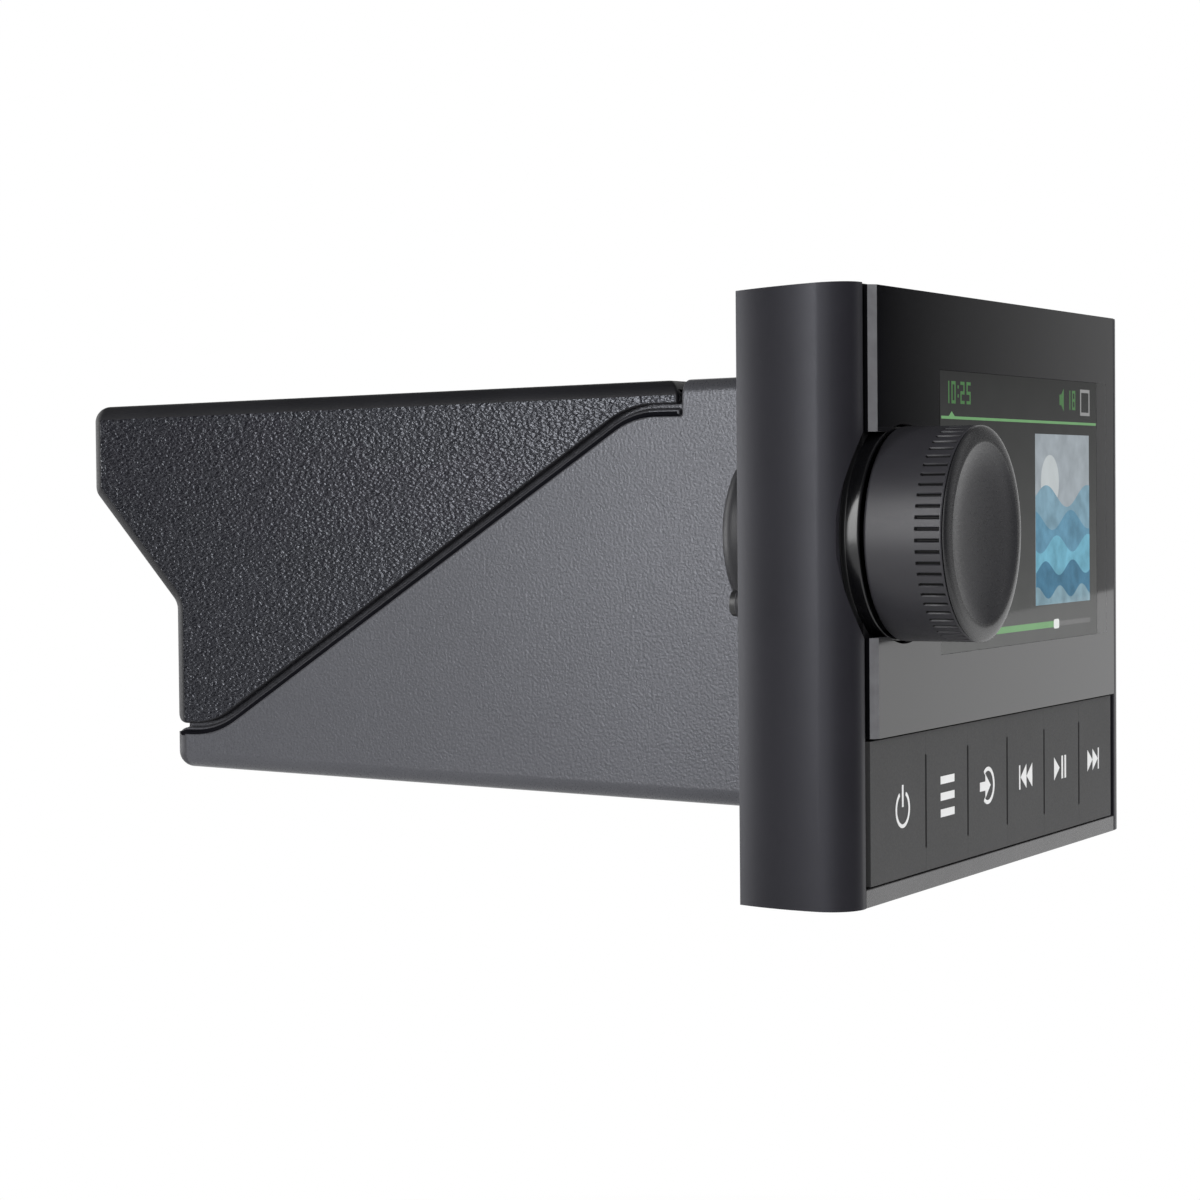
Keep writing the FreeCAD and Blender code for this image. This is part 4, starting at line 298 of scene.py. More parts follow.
RIBBON = finish("ribbon", (0.6, 0.6, 0.58), 0.5)
ACRYLIC = finish("light_guide", (0.7, 0.72, 0.75), 0.2)
SLEEVE = finish("capacitor_sleeve", (0.02, 0.02, 0.03), 0.25)

SLOT_LOOKS = {
    "panel_plastic": PLASTIC, "frame_plastic": FRAME_PLASTIC, "cover_glass": GLASS_EDGE,
    "adhesive": FOAM, "display": GLASS_PRINT, "light_guide": ACRYLIC,
    "sheet_steel": SHEET_STEEL, "key_plastic": KEY_RUBBER, "silicone": SILICONE,
    "black_plastic": BLACK_PLASTIC, "board": BOARD, "steel": STEEL,
    "knob_rubber": KNOB_RUBBER, "knob_gloss": KNOB_GLOSS, "chassis_paint": CHASSIS,
    "cover_paint": COVER, "contact_brass": BRASS, "capacitor_sleeve": SLEEVE,
    "copper": COPPER, "aluminium": ALUMINIUM, "ribbon": RIBBON,
}
NODE_LOOKS = {"housing_screws": SCREW_BLACK, "cover_screws": SCREW_BLACK}
for name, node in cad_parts.items():
    for place in node.material_slots:
        place.material = NODE_LOOKS.get(name) or SLOT_LOOKS[place.material.name]


# Outlines

def box_shape(left, right, low, high):
    return [(left, low), (right, low), (right, high), (left, high)]


def arc(centre, radius, start, end, steps):
    points = []
    for step in range(steps + 1):
        angle = math.radians(start + (end - start) * step / steps)
        points.append((centre[0] + radius * math.cos(angle),
                       centre[1] + radius * math.sin(angle)))
    return points


def ring_shape(centre, outer, inner, start, end):
    steps = 40
    return arc(centre, outer, start, end, steps) + arc(centre, inner, end, start, steps)


def rounded_box(left, right, low, high, radius):
    corners = [(right - radius, low + radius, -90), (right - radius, high - radius, 0),
               (left + radius, high - radius, 90), (left + radius, low + radius, 180)]
    points = []
    for x, z, start in corners:
        points += arc((x, z), radius, start, start + 90, 6)
    return points


def rounded(profile, radius):
    """Replace the inner corners of an open profile by arcs of a small radius."""
    steps = 4
    longest = 0.45  # share of a side that an arc may take
    points = [profile[0]]
    for before, corner, after in zip(profile, profile[1:], profile[2:]):
        back = Vector(before) - Vector(corner)
        on = Vector(after) - Vector(corner)
        reach = min(radius, back.length * longest, on.length * longest)
        if reach < 1e-4:
            points.append(corner)
            continue
        start = Vector(corner) + back.normalized() * reach
        end = Vector(corner) + on.normalized() * reach
        for step in range(steps + 1):
            part = step / steps
            point = start.lerp(Vector(corner), part).lerp(Vector(corner).lerp(end, part), part)
            points.append(tuple(point))
    points.append(profile[-1])
    return points


# Mesh tools

def flat_ring(work, outline, depth):
    """Corners of an outline of X and Z at a depth."""
    return [work.verts.new((x * MM, depth * MM, z * MM)) for x, z in outline]


def wall(work, near, far, look=0):
    """Faces that join two rings with the same number of corners."""
    count = len(near)
    for first in range(count):
        second = (first + 1) % count
        face = work.faces.new((near[first], near[second], far[second], far[first]))
        face.material_index = look


def as_mesh(work, name, outward=True):
    if outward:
        bmesh.ops.recalc_face_normals(work, faces=work.faces)
    mesh = bpy.data.meshes.new(name)
    work.to_mesh(mesh)
    work.free()
    return mesh


def add_object(name, data):
    thing = bpy.data.objects.new(name, data)
    bpy.context.scene.collection.objects.link(thing)
    return thing


def new_piece(name, mesh, materials, body, replaces=()):
    for material in materials:
        mesh.materials.append(material)
    piece = add_object(name, mesh)
    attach(piece, body)
    if replaces:
        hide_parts(*replaces)
    return piece


def smooth(mesh, angle=35.0):
    mesh.shade_smooth()
    mesh.set_sharp_from_angle(angle=math.radians(angle))


def apply_modifiers(piece):
    """Keep what the modifiers give as the piece's own mesh."""
    bpy.context.view_layer.update()
    shown = piece.evaluated_get(bpy.context.evaluated_depsgraph_get())
    made = bpy.data.meshes.new_from_object(shown)
    piece.modifiers.clear()
    old = piece.data
    piece.data = made
    bpy.data.meshes.remove(old)


def round_edges(piece, width, clamp=False):
    bevel = piece.modifiers.new("round", "BEVEL")
    bevel.width = width * MM
    bevel.segments = 2
    bevel.limit_method = "ANGLE"
    bevel.angle_limit = math.radians(32.0)
    bevel.use_clamp_overlap = clamp
    bevel.miter_outer = "MITER_ARC"
    apply_modifiers(piece)
    smooth(piece.data, 40.0)
    even = piece.modifiers.new("even", "WEIGHTED_NORMAL")
    even.keep_sharp = True
    even.weight = 60
    apply_modifiers(piece)


def solid(name, outline, axis, low, high):
    """Mesh of an outline across the Y or Z axis, pushed from low to high along it."""
    work = bmesh.new()
    rings = []
    for level in (low, high):
        corners = [(u, level, v) if axis == "y" else (u, v, level) for u, v in outline]
        rings.append([work.verts.new([part * MM for part in corner]) for corner in corners])
    wall(work, *rings)
    for ring in rings:
        work.faces.new(ring)
    return as_mesh(work, name)


def cut(piece, *tools):
    """Take the tools' forms out of a piece."""
    helpers = []
    for number, mesh in enumerate(tools):
        helper = add_object("cutter", mesh)
        carve = piece.modifiers.new("cut_%d" % number, "BOOLEAN")
        carve.operation = "DIFFERENCE"
        carve.solver = "EXACT"
        carve.object = helper
        helpers.append(helper)
    apply_modifiers(piece)
    for helper in helpers:
        mesh = helper.data
        bpy.data.objects.remove(helper)
        bpy.data.meshes.remove(mesh)


def polished(node, materials, edge):
    """A CAD node's own form with softly rounded edges, as a piece that stands for it."""
    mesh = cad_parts[node].data.copy()
    mesh.materials.clear()
    work = bmesh.new()
    work.from_mesh(mesh)
    bmesh.ops.remove_doubles(work, verts=work.verts, dist=0.001 * MM)
    bmesh.ops.dissolve_limit(work, angle_limit=math.radians(0.4), verts=work.verts,
                             edges=work.edges)
    work.to_mesh(mesh)
    work.free()
    if mesh.has_custom_normals:
        mesh.normals_split_custom_set_from_vertices([(0, 0, 0)] * len(mesh.vertices))
    piece = new_piece("look_" + node, mesh, materials, "radio", (node,))
    round_edges(piece, edge)
    return piece


def lathe(name, profile, steps, materials, body, replaces, shape=None, faces=None):
    """Turn a profile of (radius, y) round the knob's axis.

    shape gives the radius and faces the look by station along the profile and step round it.
    """
    work = bmesh.new()
    rings = []
    for station, (radius, depth) in enumerate(profile):
        if radius < 1e-6:
            rings.append(flat_ring(work, [(KNOB_X, KNOB_Z)], depth))
            continue
        outline = []
        for step in range(steps):
            angle = 2.0 * math.pi * step / steps
            reach = shape(station, step, radius) if shape else radius
            outline.append((KNOB_X + reach * math.cos(angle), KNOB_Z + reach * math.sin(angle)))
        rings.append(flat_ring(work, outline, depth))
    for station in range(len(rings) - 1):
        first, second = rings[station], rings[station + 1]
        for step in range(steps):
            following = (step + 1) % steps
            if len(second) == 1:
                corners = (first[step], first[following], second[0])
            else:
                corners = (first[step], first[following], second[following], second[step])
            face = work.faces.new(corners)
            if faces:
                face.material_index = faces(station, step)
    mesh = as_mesh(work, name)
    smooth(mesh)
    return new_piece(name, mesh, materials, body, replaces)


def sheets(name, shapes, depth, material, body, thickness):
    """Flat shapes of X, Z outlines as one thin piece. Each outline is a list of corners."""
    work = bmesh.new()
    for shape in shapes:
        near = flat_ring(work, shape, depth - thickness)
        far = flat_ring(work, shape, depth)
        work.faces.new(near)
        wall(work, near, far)
    return new_piece(name, as_mesh(work, name), [material], body)


# Front panel

def make_panel():
    for side in (-1, 1):
        make_side_cap(side)
    bezel = polished("bezel", [LIP_PAINTED_SHEEN, PAINTED_SHADE], 0.15)
    # Forward faces above the lip and those behind the glass take the painted shade: black, as the
    # gaps beside the glass are in shadow.
    for face in bezel.data.polygons:
        spot = face.center / MM
        behind_glass = abs(spot.x) < 69.0 and -55.0 < spot.z < 55.9
        if spot.z > LIP_TOP + 0.1 and (face.normal.y < -0.3 or behind_glass):
            face.material_index = 1
    polished("mounting_frame", [FRAME_PLASTIC], 0.15)
    polished("encoder_housing", [FRAME_PLASTIC], 0.2)


def cap_section(side):
    """D-shaped section of a side cap in X and Y, from the valley floor round to the rear."""
    steps = 24
    corner = (PANEL_SIDE - CAP_CORNER, CAP_FLANK)
    points = [(CAP_EDGE, VALLEY_FLOOR), (CAP_INNER, VALLEY_FLOOR), (CAP_INNER, PANEL_FRONT)]
    points += arc(corner, CAP_CORNER, -90, 0, steps)
    lean = math.asin(-CAP_FLANK / FLANK_RADIUS)
    shrink = (PANEL_SIDE - CAP_REAR) / (FLANK_RADIUS * (1.0 - math.cos(lean)))
    for step in range(1, steps + 1):
        turn = lean * step / steps
        points.append((PANEL_SIDE - FLANK_RADIUS * (1.0 - math.cos(turn)) * shrink,
                       CAP_FLANK + FLANK_RADIUS * math.sin(turn)))
    points.append((CAP_EDGE, 0.0))
    return [(side * x, y) for x, y in points]


def make_side_cap(side):
    """Bowed end cap with its hidden pockets and, on the left, the knob's round recess."""
    name = "side_cap_left" if side < 0 else "side_cap_right"
    mesh = solid("look_" + name, cap_section(side), "z", -PANEL_HALF, PANEL_HALF)
    for vertex in mesh.vertices:
        if vertex.co.z > 0:
            vertex.co.z -= TOP_FALL * MM * (1.0 - vertex.co.y / (PANEL_FRONT * MM))
    piece = new_piece("look_" + name, mesh, [PLASTIC, PAINTED_SHADE], "radio", (name,))

    def pocket(reach, low, high, near, far):
        edges = sorted((side * (CAP_EDGE - 1.0), side * reach))
        return solid("pocket", box_shape(*edges, low, high), "y", near, far)

    frame_pocket = pocket(73.62, -54.25, 53.35, -3.7, 1.0)
    screw_z, head_half = 46.0, 4.2
    tools = [frame_pocket]
    for z in (-screw_z, screw_z):
        tools.append(pocket(73.6, z - head_half, z + head_half, -17.0, -3.6))
    if side < 0:
        tools.append(flared_recess())
    cut(piece, *tools)
    round_edges(piece, 0.25, clamp=True)
    # Forward faces inside the cap's inner edge, the valley floor and part of the recess floor,
    # take the painted shade black.
    for face in piece.data.polygons:
        spot = face.center / MM
        if abs(spot.x) < CAP_INNER - 0.05 and face.normal.y < -0.5:
            face.material_index = 1


def flared_recess():
    """The knob's recess, wider at its mouth than at its floor."""
    rim = arc((KNOB_X, KNOB_Z), RECESS_RADIUS, 0, 360, 240)[:-1]
    recess = solid("recess", rim, "y", PANEL_FRONT - 1.0, RECESS_FLOOR)
    for vertex in recess.vertices:
        if vertex.co.y < (PANEL_FRONT + RECESS_FLOOR) / 2 * MM:
            vertex.co.x = KNOB_X * MM + (vertex.co.x - KNOB_X * MM) * RECESS_FLARE
            vertex.co.z = KNOB_Z * MM + (vertex.co.z - KNOB_Z * MM) * RECESS_FLARE
    return recess


# Cover glass

GLASS_LOOKS = [GLASS_CLEAR, GLASS_EDGE, GLASS_PRINT, SCREEN_GROUND, GLASS_BLACK,
               GLASS_SIDE_CLEAR]


def glass_outline(inset):
    """Front outline of the cover glass, with the bay that leaves room for the knob."""
    side = GLASS_SIDE - inset
    turn = 180.0 - math.degrees(math.asin(BAY_HALF / BAY_RADIUS))
    bay = arc((KNOB_X, KNOB_Z), BAY_RADIUS, -turn, turn, 48)
    return [(-side, GLASS_LOW), (side, GLASS_LOW), (side, GLASS_TOP), (-side, GLASS_TOP),
            (-side, KNOB_Z + BAY_HALF), *reversed(bay), (-side, KNOB_Z - BAY_HALF)]


def fill_round(work, outer, box, depth, look):
    """Fill the face between an outer ring and a rectangle in it. Gives the rectangle."""
    window = flat_ring(work, box_shape(*box), depth)
    edges = []
    for ring in (outer, window):
        for first in range(len(ring)):
            pair = (ring[first], ring[(first + 1) % len(ring)])
            edges.append(work.edges.get(pair) or work.edges.new(pair))
    filled = bmesh.ops.triangle_fill(work, edges=edges, use_beauty=True)
    for face in filled["geom"]:
        if isinstance(face, bmesh.types.BMFace):
            face.material_index = look
    return window


def make_glass():
    """Cover glass: front face clear over the screen and black round it, light grey bevelled
    edges.
    """
    look = GLASS_LOOKS.index
    work = bmesh.new()
    stations = ((GLASS_BEVEL, GLASS_FRONT), (0.0, PANEL_FRONT), (0.0, GLASS_BACK))
    front, edge, back = [flat_ring(work, glass_outline(inset), depth)
                         for inset, depth in stations]
    wall(work, front, edge, look(GLASS_EDGE))
    wall(work, edge, back, look(GLASS_PRINT))
    clear = fill_round(work, front, CLEAR, GLASS_FRONT, look(GLASS_BLACK))
    split = flat_ring(work, [(CLEAR_SPLIT, z) for z in CLEAR[2:]], GLASS_FRONT)
    left = work.faces.new((clear[0], split[0], split[1], clear[3]))
    left.material_index = look(GLASS_CLEAR)
    right = work.faces.new((split[0], clear[1], clear[2], split[1]))
    right.material_index = look(GLASS_SIDE_CLEAR)
    screen = fill_round(work, back, SCREEN, GLASS_BACK, look(GLASS_PRINT))
    work.faces.new(screen).material_index = look(SCREEN_GROUND)
    wall(work, clear, screen, look(GLASS_PRINT))
    new_piece("look_front_glass", as_mesh(work, "look_front_glass"), GLASS_LOOKS, "radio",
              ("front_glass",))


# Keys

def sign_shapes():
    """White signs by key: power, menu bars, source arrow, previous, play or pause, next."""
    level = SIGN_Z
    signs = {}
    x = -52.6
    signs["power"] = [ring_shape((x, level - 0.5), 3.5, 2.8, 118, 422),
                      box_shape(x - 0.38, x + 0.38, level - 0.1, level + 4.0)]
    x = -29.9
    bars = [(level + 2.4, level + 3.9), (level - 0.75, level + 0.75), (level - 3.9, level - 2.4)]
    signs["menu"] = [box_shape(x - 3.6, x + 3.6, low, high) for low, high in bars]
    x = -8.1
    arrow = [(x - 4.4, level - 0.9), (x - 1.4, level - 0.9), (x - 1.4, level - 2.4),
             (x + 1.5, level), (x - 1.4, level + 2.4), (x - 1.4, level + 0.9),
             (x - 4.4, level + 0.9)]
    signs["source"] = [ring_shape((x, level), 3.7, 2.9, -128, 128), arrow]
    x = 13.7
    low, high = level - 2.45, level + 2.45
    signs["previous"] = [
        box_shape(x - 3.9, x - 3.2, low, high),
        [(x - 3.0, level), (x + 0.4, low), (x + 0.4, high)],
        [(x + 0.5, level), (x + 3.9, low), (x + 3.9, high)],
    ]
    x = 34.9
    low, high = level - 2.4, level + 2.4
    signs["play"] = [
        [(x - 3.9, low), (x - 0.5, level), (x - 3.9, high)],
        box_shape(x + 0.7, x + 1.7, low, high),
        box_shape(x + 2.6, x + 3.6, low, high),
    ]
    x = 56.3
    low, high = level - 2.3, level + 2.3
    signs["next"] = [
        [(x - 3.9, low), (x - 0.6, level), (x - 3.9, high)],
        [(x - 0.5, low), (x + 2.9, level), (x - 0.5, high)],
        box_shape(x + 3.0, x + 3.7, low, high),
    ]
    return signs


def make_keys():
    """Soft keys whose seams nearly close, with a short groove between neighbours."""
    signs = sign_shapes()
    middle = (KEY_TOP + KEY_LOW) / 2
    low = middle - GROOVE_REACH
    high = middle + GROOVE_REACH
    bite = GROOVE_HALF - SEAM_HALF
    for index, name in enumerate(KEY_NAMES):
        first = index == 0
        last = index == len(KEY_NAMES) - 1
        left = -GLASS_SIDE if first else KEY_SEAMS[index - 1] + SEAM_HALF
        right = GLASS_SIDE if last else KEY_SEAMS[index] - SEAM_HALF
        outline = [(left, KEY_LOW), (right, KEY_LOW)]
        if not last:
            outline += [(right, low), (right - bite, low + bite), (right - bite, high - bite),
                        (right, high)]
        outline += [(right, KEY_TOP), (left, KEY_TOP)]
        if not first:
            outline += [(left, high), (left + bite, high - bite), (left + bite, low + bite),
                        (left, low)]
        key, body = "look_key_" + name, "key_" + name
        new_piece(key, solid(key, outline, "y", PANEL_FRONT, KEY_BACK), [KEY_RUBBER], body,
                  (body,))
        sheets("sign_" + name, signs[name], PANEL_FRONT, SIGN_WHITE, body, 0.04)


# Knob

def make_sleeve():
    """Rubbery sleeve with a row of short notches near its front, their floors painted black as
    shade.
    """
    radius = KNOB_RADIUS
    profile = rounded([(9.0, -31.0), (9.0, SLEEVE_REAR), (radius - 0.4, SLEEVE_REAR),
                       (radius, SLEEVE_REAR - 0.4), (radius, -34.1)], 0.3)
    notch_from = len(profile)
    profile += [(radius, y) for y in (-34.15, -34.5, -38.6, -38.85)]
    notch_to = len(profile) - 1
    profile += [(radius, -39.0), (radius - 0.15, SLEEVE_FRONT), (17.2, SLEEVE_FRONT)]

    def notch(station, step, reach):
        if notch_from < station < notch_to:
            reach -= NOTCH_DEPTHS.get(step % STEPS_PER_NOTCH, 0.0)
        return reach

    def look(station, step):
        notched = notch_from - 1 <= station < notch_to
        return 1 if notched and step % STEPS_PER_NOTCH in NOTCH_SHADE_STEPS else 0

    lathe("look_knob_sleeve", profile, NOTCHES * STEPS_PER_NOTCH, [KNOB_RUBBER, PAINTED_SHADE], "knob",
          ("knob_sleeve",), shape=notch, faces=look)


def make_cap():
    """Glossy cap: a rounded rim that runs into a shallow dish."""
    turns = [math.radians(7.5 * step) for step in range(13)]
    crest = [(KNOB_RADIUS - RIM_WIDTH * (1.0 - math.cos(turn)),
              RIM_BASE - RIM_RISE * math.sin(turn)) for turn in turns]
    base = [(17.2, -37.6), (17.2, -39.4), (19.6, -39.4)]
    dish = [(16.4, -40.24), (15.6, -40.0), (14.0, -39.7), (12.0, -39.45), (10.0, -39.3),
            (7.5, -39.16), (5.0, -39.08), (2.5, -39.02), (0.0, -39.0)]
    dish_from = len(base) + len(crest)
    lathe("look_knob_cap", [*base, *crest, *dish], 240, [KNOB_GLOSS, KNOB_FACE], "knob",
          ("knob_cap",),
          faces=lambda station, step: 1 if station >= dish_from else 0)


def make_ring():
    """Fixed gloss ring round the knob's rear, on a thin flange painted black as shade."""
    ring = rounded([(18.9, RECESS_FLOOR), (18.9, -23.3), (19.1, -23.5), (19.65, -23.5),
                    (19.85, -23.3), (19.85, RING_FLANGE_TOP), (20.1, -20.65), (21.2, -20.65),
                    (21.2, RECESS_FLOOR)], 0.1)

    def look(station, step):
        return 1 if min(ring[station][1], ring[station + 1][1]) > RING_FLANGE_TOP else 0

    lathe("look_knob_ring", ring, 200, [RING_GLOSS, PAINTED_SHADE], "radio",
          ("knob_ring",), faces=look)


# Display

SEGMENTS = {"0": "abcdef", "1": "bc", "2": "abged", "3": "abgcd", "4": "fgbc", "5": "afgcd",
            "6": "afgedc", "7": "abc", "8": "abcdefg", "9": "abcdfg"}


def digits(text, left, low, tall, stroke):
    """Plain numbers built from straight strokes, with a colon between hours and minutes."""
    wide = tall * 0.52
    shapes = []
    for sign in text:
        if sign == ":":
            for level in (0.28, 0.68):
                z = low + tall * level
                shapes.append(box_shape(left, left + stroke, z, z + stroke))
            left += stroke * 2.4
            continue
        middle = low + (tall - stroke) / 2
        right = left + wide
        top = low + tall
        strokes = {
            "a": (left, right, top - stroke, top),
            "b": (right - stroke, right, middle + stroke / 2, top),
            "c": (right - stroke, right, low, middle + stroke / 2),
            "d": (left, right, low, low + stroke),
            "e": (left, left + stroke, low, middle + stroke / 2),
            "f": (left, left + stroke, middle + stroke / 2, top),
            "g": (left, right, middle, middle + stroke),
        }
        shapes += [box_shape(*strokes[letter]) for letter in SEGMENTS[sign]]
        left += wide + stroke * 1.7
    return shapes


def frame_shape(left, right, low, high, stroke):
    return [box_shape(left, right, low, low + stroke),
            box_shape(left, right, high - stroke, high),
            box_shape(left, left + stroke, low + stroke, high - stroke),
            box_shape(right - stroke, right, low + stroke, high - stroke)]


def wave_shape(left, right, low, base, tall, length, shift):
    """Area under a rolling wave line."""
    count = 32
    top = []
    for step in range(count + 1):
        x = left + (right - left) * step / count
        top.append((x, base + tall * math.sin(2.0 * math.pi * (x - left) / length + shift)))
    return [(right, low), *reversed(top), (left, low)]


def lit(name, shapes, material, level=0):
    """Lit shapes just in front of the screen, on one of several thin levels."""
    depth = GLASS_BACK - 0.03 - 0.02 * level
    sheets(name, shapes, depth, material, "radio", 0.0)


def make_screen():
    """Clock, sound level, track number and time, and a line that shows how far it has run."""
    left, right = SCREEN[:2]
    green = glow("screen_green", (0.17, 0.36, 0.16))
    dim_green = glow("screen_dim_green", (0.08, 0.19, 0.075))
    grey = glow("screen_grey", (0.155, 0.155, 0.155))
    white = glow("screen_white", (0.8, 0.82, 0.8))
    pale = glow("screen_pale", (0.3, 0.3, 0.3))
    low, high = 32.6, 33.15
    pointer = [(-26.6, high), (-23.4, high), (-25.0, low + 1.5)]
    lit("screen_line", [box_shape(left + 0.5, right - 0.4, low, high), pointer], green)
    lit("screen_clock", digits("10:25", -28.4, 35.6, 4.3, 0.62), dim_green)
    speaker = [(37.2, 36.6), (38.3, 36.6), (39.9, 35.3), (39.9, 40.1), (38.3, 38.8),
               (37.2, 38.8)]
    lit("screen_level", [speaker, *digits("18", 42.0, 35.7, 4.1, 0.6)], dim_green)
    lit("screen_badge", frame_shape(50.4, 56.6, 34.6, 40.2, 0.7), pale)
    bar = -9.2
    dial = 33.6
    lit("screen_bar", [box_shape(left + 5.0, dial, bar - 0.65, bar + 0.65)], green)
    lit("screen_rest", [box_shape(dial, 56.6, bar - 0.5, bar + 0.5)], grey)
    lit("screen_dial", [rounded_box(dial - 0.6, dial + 2.8, bar - 1.0, bar + 1.0, 0.6)], white, 1)
    lit("screen_track", digits("07", -24.0, 15.0, 10.0, 1.1), pale)
    lit("screen_time", digits("2:47", -24.0, 2.0, 4.6, 0.6), grey)


def make_picture():
    """A pale disc over rolling waves."""
    left, right, low, high = 22.0, 56.0, -5.0, 30.4
    tones = [(0.2, 0.33, 0.41), (0.12, 0.27, 0.38), (0.16, 0.4, 0.52), (0.07, 0.19, 0.29),
             (0.22, 0.34, 0.4)]
    lit("art_sky", [box_shape(left, right, low, high)],
        glow("art_sky", (0.34, 0.38, 0.41), patch=0.12))
    lit("art_disc", [arc((31.0, 20.5), 5.6, 0, 360, 48)[:-1]],
        glow("art_disc", (0.52, 0.56, 0.57)), 1)
    for number, tone in enumerate(tones):
        shape = wave_shape(left, right, low, 17.5 - 5.0 * number, 2.3 - 0.25 * number,
                           26.0 - 3.0 * number, 1.9 * number)
        lit("art_wave_%d" % number, [shape], glow("art_tone_%d" % number, tone, patch=0.2),
            2 + number)


# Case behind the panel

def make_case():
    """Chassis whose ledge in the groove is painted near black as shade, and the cover. Rounded
    edges mirror less.
    """
    chassis = polished("chassis", [CHASSIS, LEDGE_PAINTED_SHADE, CHASSIS_EDGE], 0.4)
    for face in chassis.data.polygons:
        spot = face.center / MM
        across = abs(face.normal.x)
        on_ledge = abs(abs(spot.x) - LEDGE_SIDE) < 0.05 and across > 0.9
        beside = (LEDGE_SIDE - 0.05 < abs(spot.x) < CASE_SIDE and spot.z < SPLIT_HIGH
                  and face.normal.z > 0.2 and across < 0.95)
        # The ledge and the faces beside it take the painted shade of the groove.
        if on_ledge or beside:
            face.material_index = 1
        elif 0.05 < face.normal.y < 0.98:
            face.material_index = 2
    cover = polished("rear_cover", [COVER, COVER_EDGE], 0.4)
    for face in cover.data.polygons:
        if max(abs(part) for part in face.normal) < 0.995:
            face.material_index = 1


make_panel()
make_glass()
make_keys()
make_sleeve()
make_cap()
make_ring()
make_screen()
make_picture()
make_case()


# Studio, in metres

UNIT = (-0.05, 0.03, 0.0)  # where the lamps that show in the unit point
ROOM_LIGHT = 0.35
FLOOR_HEIGHT = -0.30


def make_camera():
    """Camera fitted to the photograph's outlines of the panel, the screen and the knob."""
    turn, tip, roll = -1.0873128, 0.0342863, -0.0090927
    place = (-582.47, -238.62, 18.815)
    focal_pixels, image_pixels = 3089.355, 1200.0
    forward = Vector((-math.sin(turn) * math.cos(tip), math.cos(turn) * math.cos(tip),
                      -math.sin(tip)))
    flat = Vector((math.cos(turn), math.sin(turn), 0.0))
    lift = flat.cross(forward)
    right = flat * math.cos(roll) + lift * math.sin(roll)
    up = lift * math.cos(roll) - flat * math.sin(roll)
    data = bpy.data.cameras.new("camera")
    data.sensor_width = 36.0
    data.lens = focal_pixels / image_pixels * data.sensor_width
    camera = add_object("camera", data)
    basis = Matrix((right, up, -forward)).transposed().to_4x4()
    camera.matrix_world = Matrix.Translation(Vector(place) * MM) @ basis
    bpy.context.scene.camera = camera


def background_rays(tree):
    """1 for rays that show the background: the camera's, mirrored and passing ones."""
    path = tree.nodes.new("ShaderNodeLightPath")
    ray = path.outputs["Is Camera Ray"]
    for other in ("Is Glossy Ray", "Is Transmission Ray"):
        either = tree.nodes.new("ShaderNodeMath")
        either.operation = "MAXIMUM"
        tree.links.new(ray, either.inputs[0])
        tree.links.new(path.outputs[other], either.inputs[1])
        ray = either.outputs[0]
    return ray


def make_floor():
    """Pale floor under the unit that turns into the white background further out."""
    work = bmesh.new()
    bmesh.ops.create_circle(work, cap_ends=True, segments=96, radius=4.0)
    mesh = as_mesh(work, "floor", outward=False)
    nodes = Nodes("floor_pale")
    nodes.set({"Roughness": 0.9})
    nodes.link(nodes.blend(nodes.noise(80.0, 3.0), (0.8, 0.8, 0.8), (0.84, 0.84, 0.84)),
               nodes.shader.inputs["Base Color"])
    distance = nodes.add("ShaderNodeVectorMath", operation="LENGTH")
    nodes.link(nodes.place, distance.inputs[0])
    fade = nodes.spread(distance.outputs["Value"], 0.0, 1.0, 0.3, 0.75)
    shown = nodes.add("ShaderNodeMath", operation="MULTIPLY")
    nodes.link(fade, shown.inputs[0])
    nodes.link(background_rays(nodes.tree), shown.inputs[1])
    white = nodes.add("ShaderNodeEmission")
    mix = nodes.add("ShaderNodeMixShader")
    nodes.link(shown.outputs[0], mix.inputs[0])
    nodes.link(nodes.shader.outputs["BSDF"], mix.inputs[1])
    nodes.link(white.outputs["Emission"], mix.inputs[2])
    nodes.show(mix.outputs["Shader"])
    mesh.materials.append(nodes.material)
    floor = add_object("floor", mesh)
    floor.location = (0.0, 0.05, FLOOR_HEIGHT)


def around(turn, reach, height):
    """Point at an angle from the left side towards the back, as seen from above."""
    angle = math.radians(turn)
    return Vector((-reach * math.cos(angle), reach * math.sin(angle), height))


def soft_light(name, place, aim, size, radiance, mirrored=True):
    """Rectangular lamp, given by the brightness of its face, where 1 is white."""
    data = bpy.data.lights.new(name, "AREA")
    data.shape = "RECTANGLE"
    data.size, data.size_y = size
    data.energy = radiance * math.pi * size[0] * size[1]
    lamp = add_object(name, data)
    lamp.location = place
    lamp.rotation_euler = (Vector(aim) - Vector(place)).to_track_quat("-Z", "Y").to_euler()
    lamp.visible_glossy = mirrored


def flag(name, corners, level, ramp=None):
    """Studio card that only shows in glossy surfaces.

    With ramp, a (brightness, start, end), its brightness goes from level to that of the ramp
    between those two places along Y.
    """
    work = bmesh.new()
    work.faces.new([work.verts.new(corner) for corner in corners])
    mesh = as_mesh(work, name, outward=False)
    nodes = Nodes(name)
    light = nodes.add("ShaderNodeEmission", Strength=level)
    if ramp:
        nodes.link(nodes.spread(nodes.along("Y"), level, *ramp), light.inputs["Strength"])
    nodes.show(light.outputs[0])
    mesh.materials.append(nodes.material)
    card = add_object(name, mesh)
    for sense in ("camera", "diffuse", "transmission", "volume_scatter", "shadow"):
        setattr(card, "visible_" + sense, False)


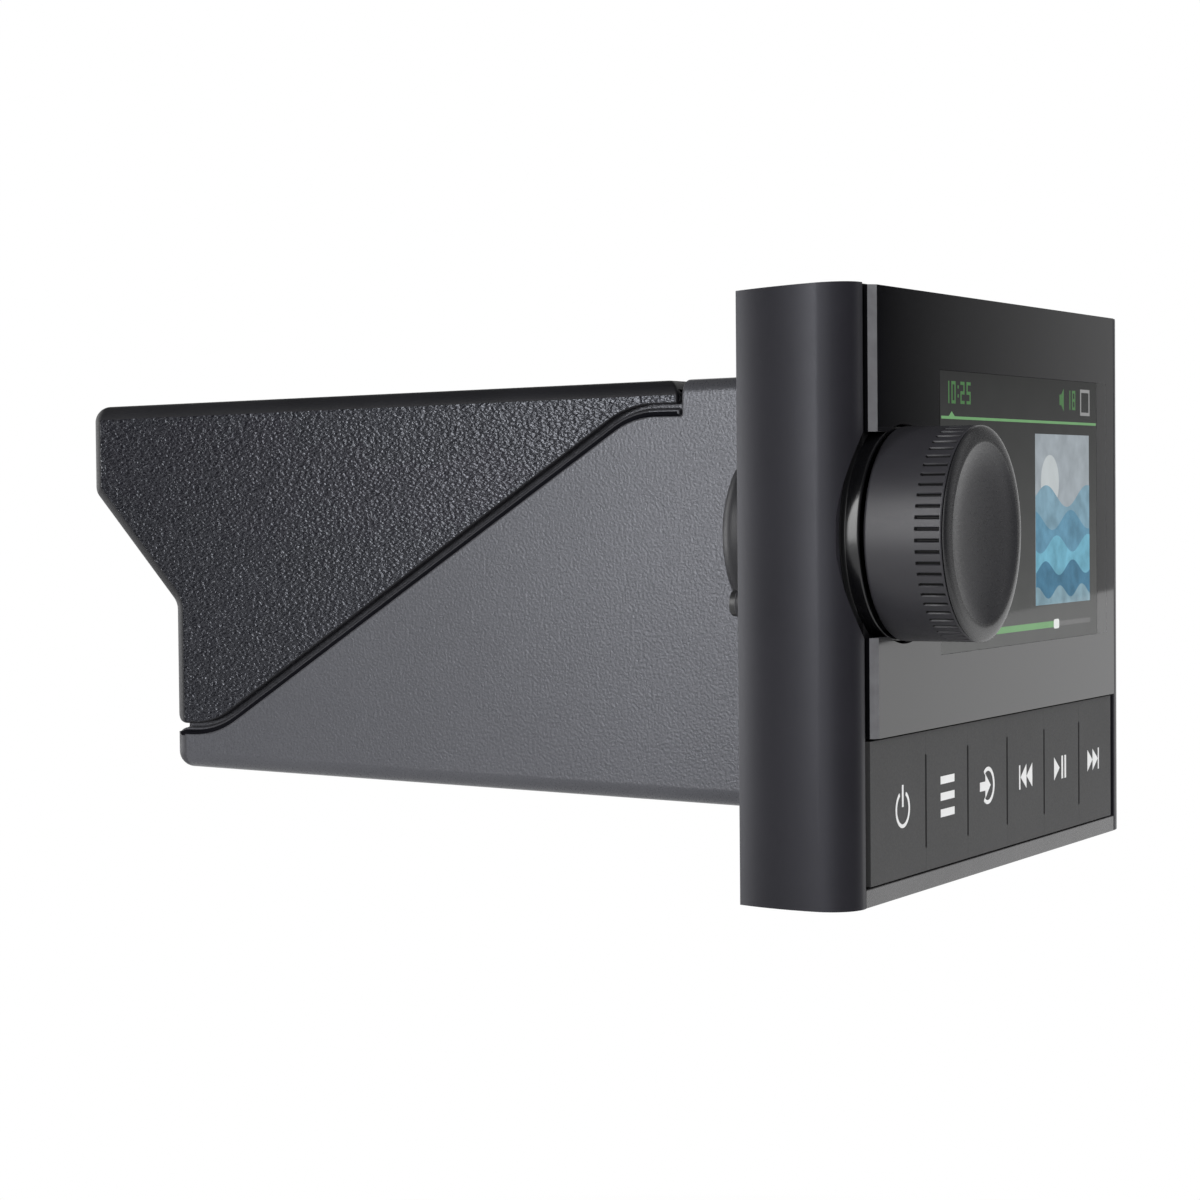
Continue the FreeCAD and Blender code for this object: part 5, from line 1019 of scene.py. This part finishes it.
def standing_flag(name, start, end, reach, low, high, level):
    """Upright card between two angles round the unit."""
    corners = [around(start, reach, low), around(end, reach, low), around(end, reach, high),
               around(start, reach, high)]
    flag(name, corners, level)


def make_flags():
    """Cards that give the glass its slanted bright band and the rounded parts their shades."""
    flag("flag_right", [(0.9, -0.60, -0.0998), (0.9, -0.12, 0.010), (0.9, -0.12, 0.9),
                        (0.9, -0.60, 0.9)], 0.012, (0.42, -0.425, -0.29))
    side, height = 1.4, 0.9
    flag("flag_top", [(-side, -side, height), (side, -side, height), (side, side, height),
                      (-side, side, height)], 0.15)
    standing_flag("flag_rear", 40, 58, 1.1, -0.25, 0.9, 0.05)
    standing_flag("flag_side", 63, 80, 1.1, -0.2, 0.14, 9.0)
    first, width = 12, 14
    levels = (3.0, 2.4, 1.5, 0.7, 0.3, 0.1, 0.05, 0.04, 0.05, 0.3, 0.4)
    for number, level in enumerate(levels):
        start = first - width * number
        standing_flag("flag_front_%d" % number, start - width, start, 1.0, -0.25, 0.8, level)


def make_world():
    """White behind everything that is seen or mirrored, and an even grey room light."""
    world = bpy.data.worlds.new("studio")
    bpy.context.scene.world = world
    world.use_nodes = True
    tree = world.node_tree
    tree.nodes.clear()
    output = tree.nodes.new("ShaderNodeOutputWorld")
    mix = tree.nodes.new("ShaderNodeMixShader")
    tree.links.new(background_rays(tree), mix.inputs[0])
    for socket, grey in ((1, ROOM_LIGHT), (2, 1.0)):
        ground = tree.nodes.new("ShaderNodeBackground")
        ground.inputs["Color"].default_value = (grey, grey, grey, 1.0)
        tree.links.new(ground.outputs[0], mix.inputs[socket])
    tree.links.new(mix.outputs[0], output.inputs["Surface"])


make_camera()
make_floor()
make_flags()
soft_light("key", around(20, 0.966, 0.26), UNIT, (0.16, 0.75), 11.5)
soft_light("rim", around(88, 1.2, 0.2), UNIT, (0.8, 1.1), 2.5)
soft_light("front", (-0.55, -1.0, 0.5), (0, 0, 0), (0.8, 0.8), 4.8, mirrored=False)
soft_light("right", (1.1, -0.3, 0.6), (0, 0, 0), (0.8, 0.8), 2.5, mirrored=False)
make_world()
bpy.context.scene.view_settings.view_transform = "Standard"
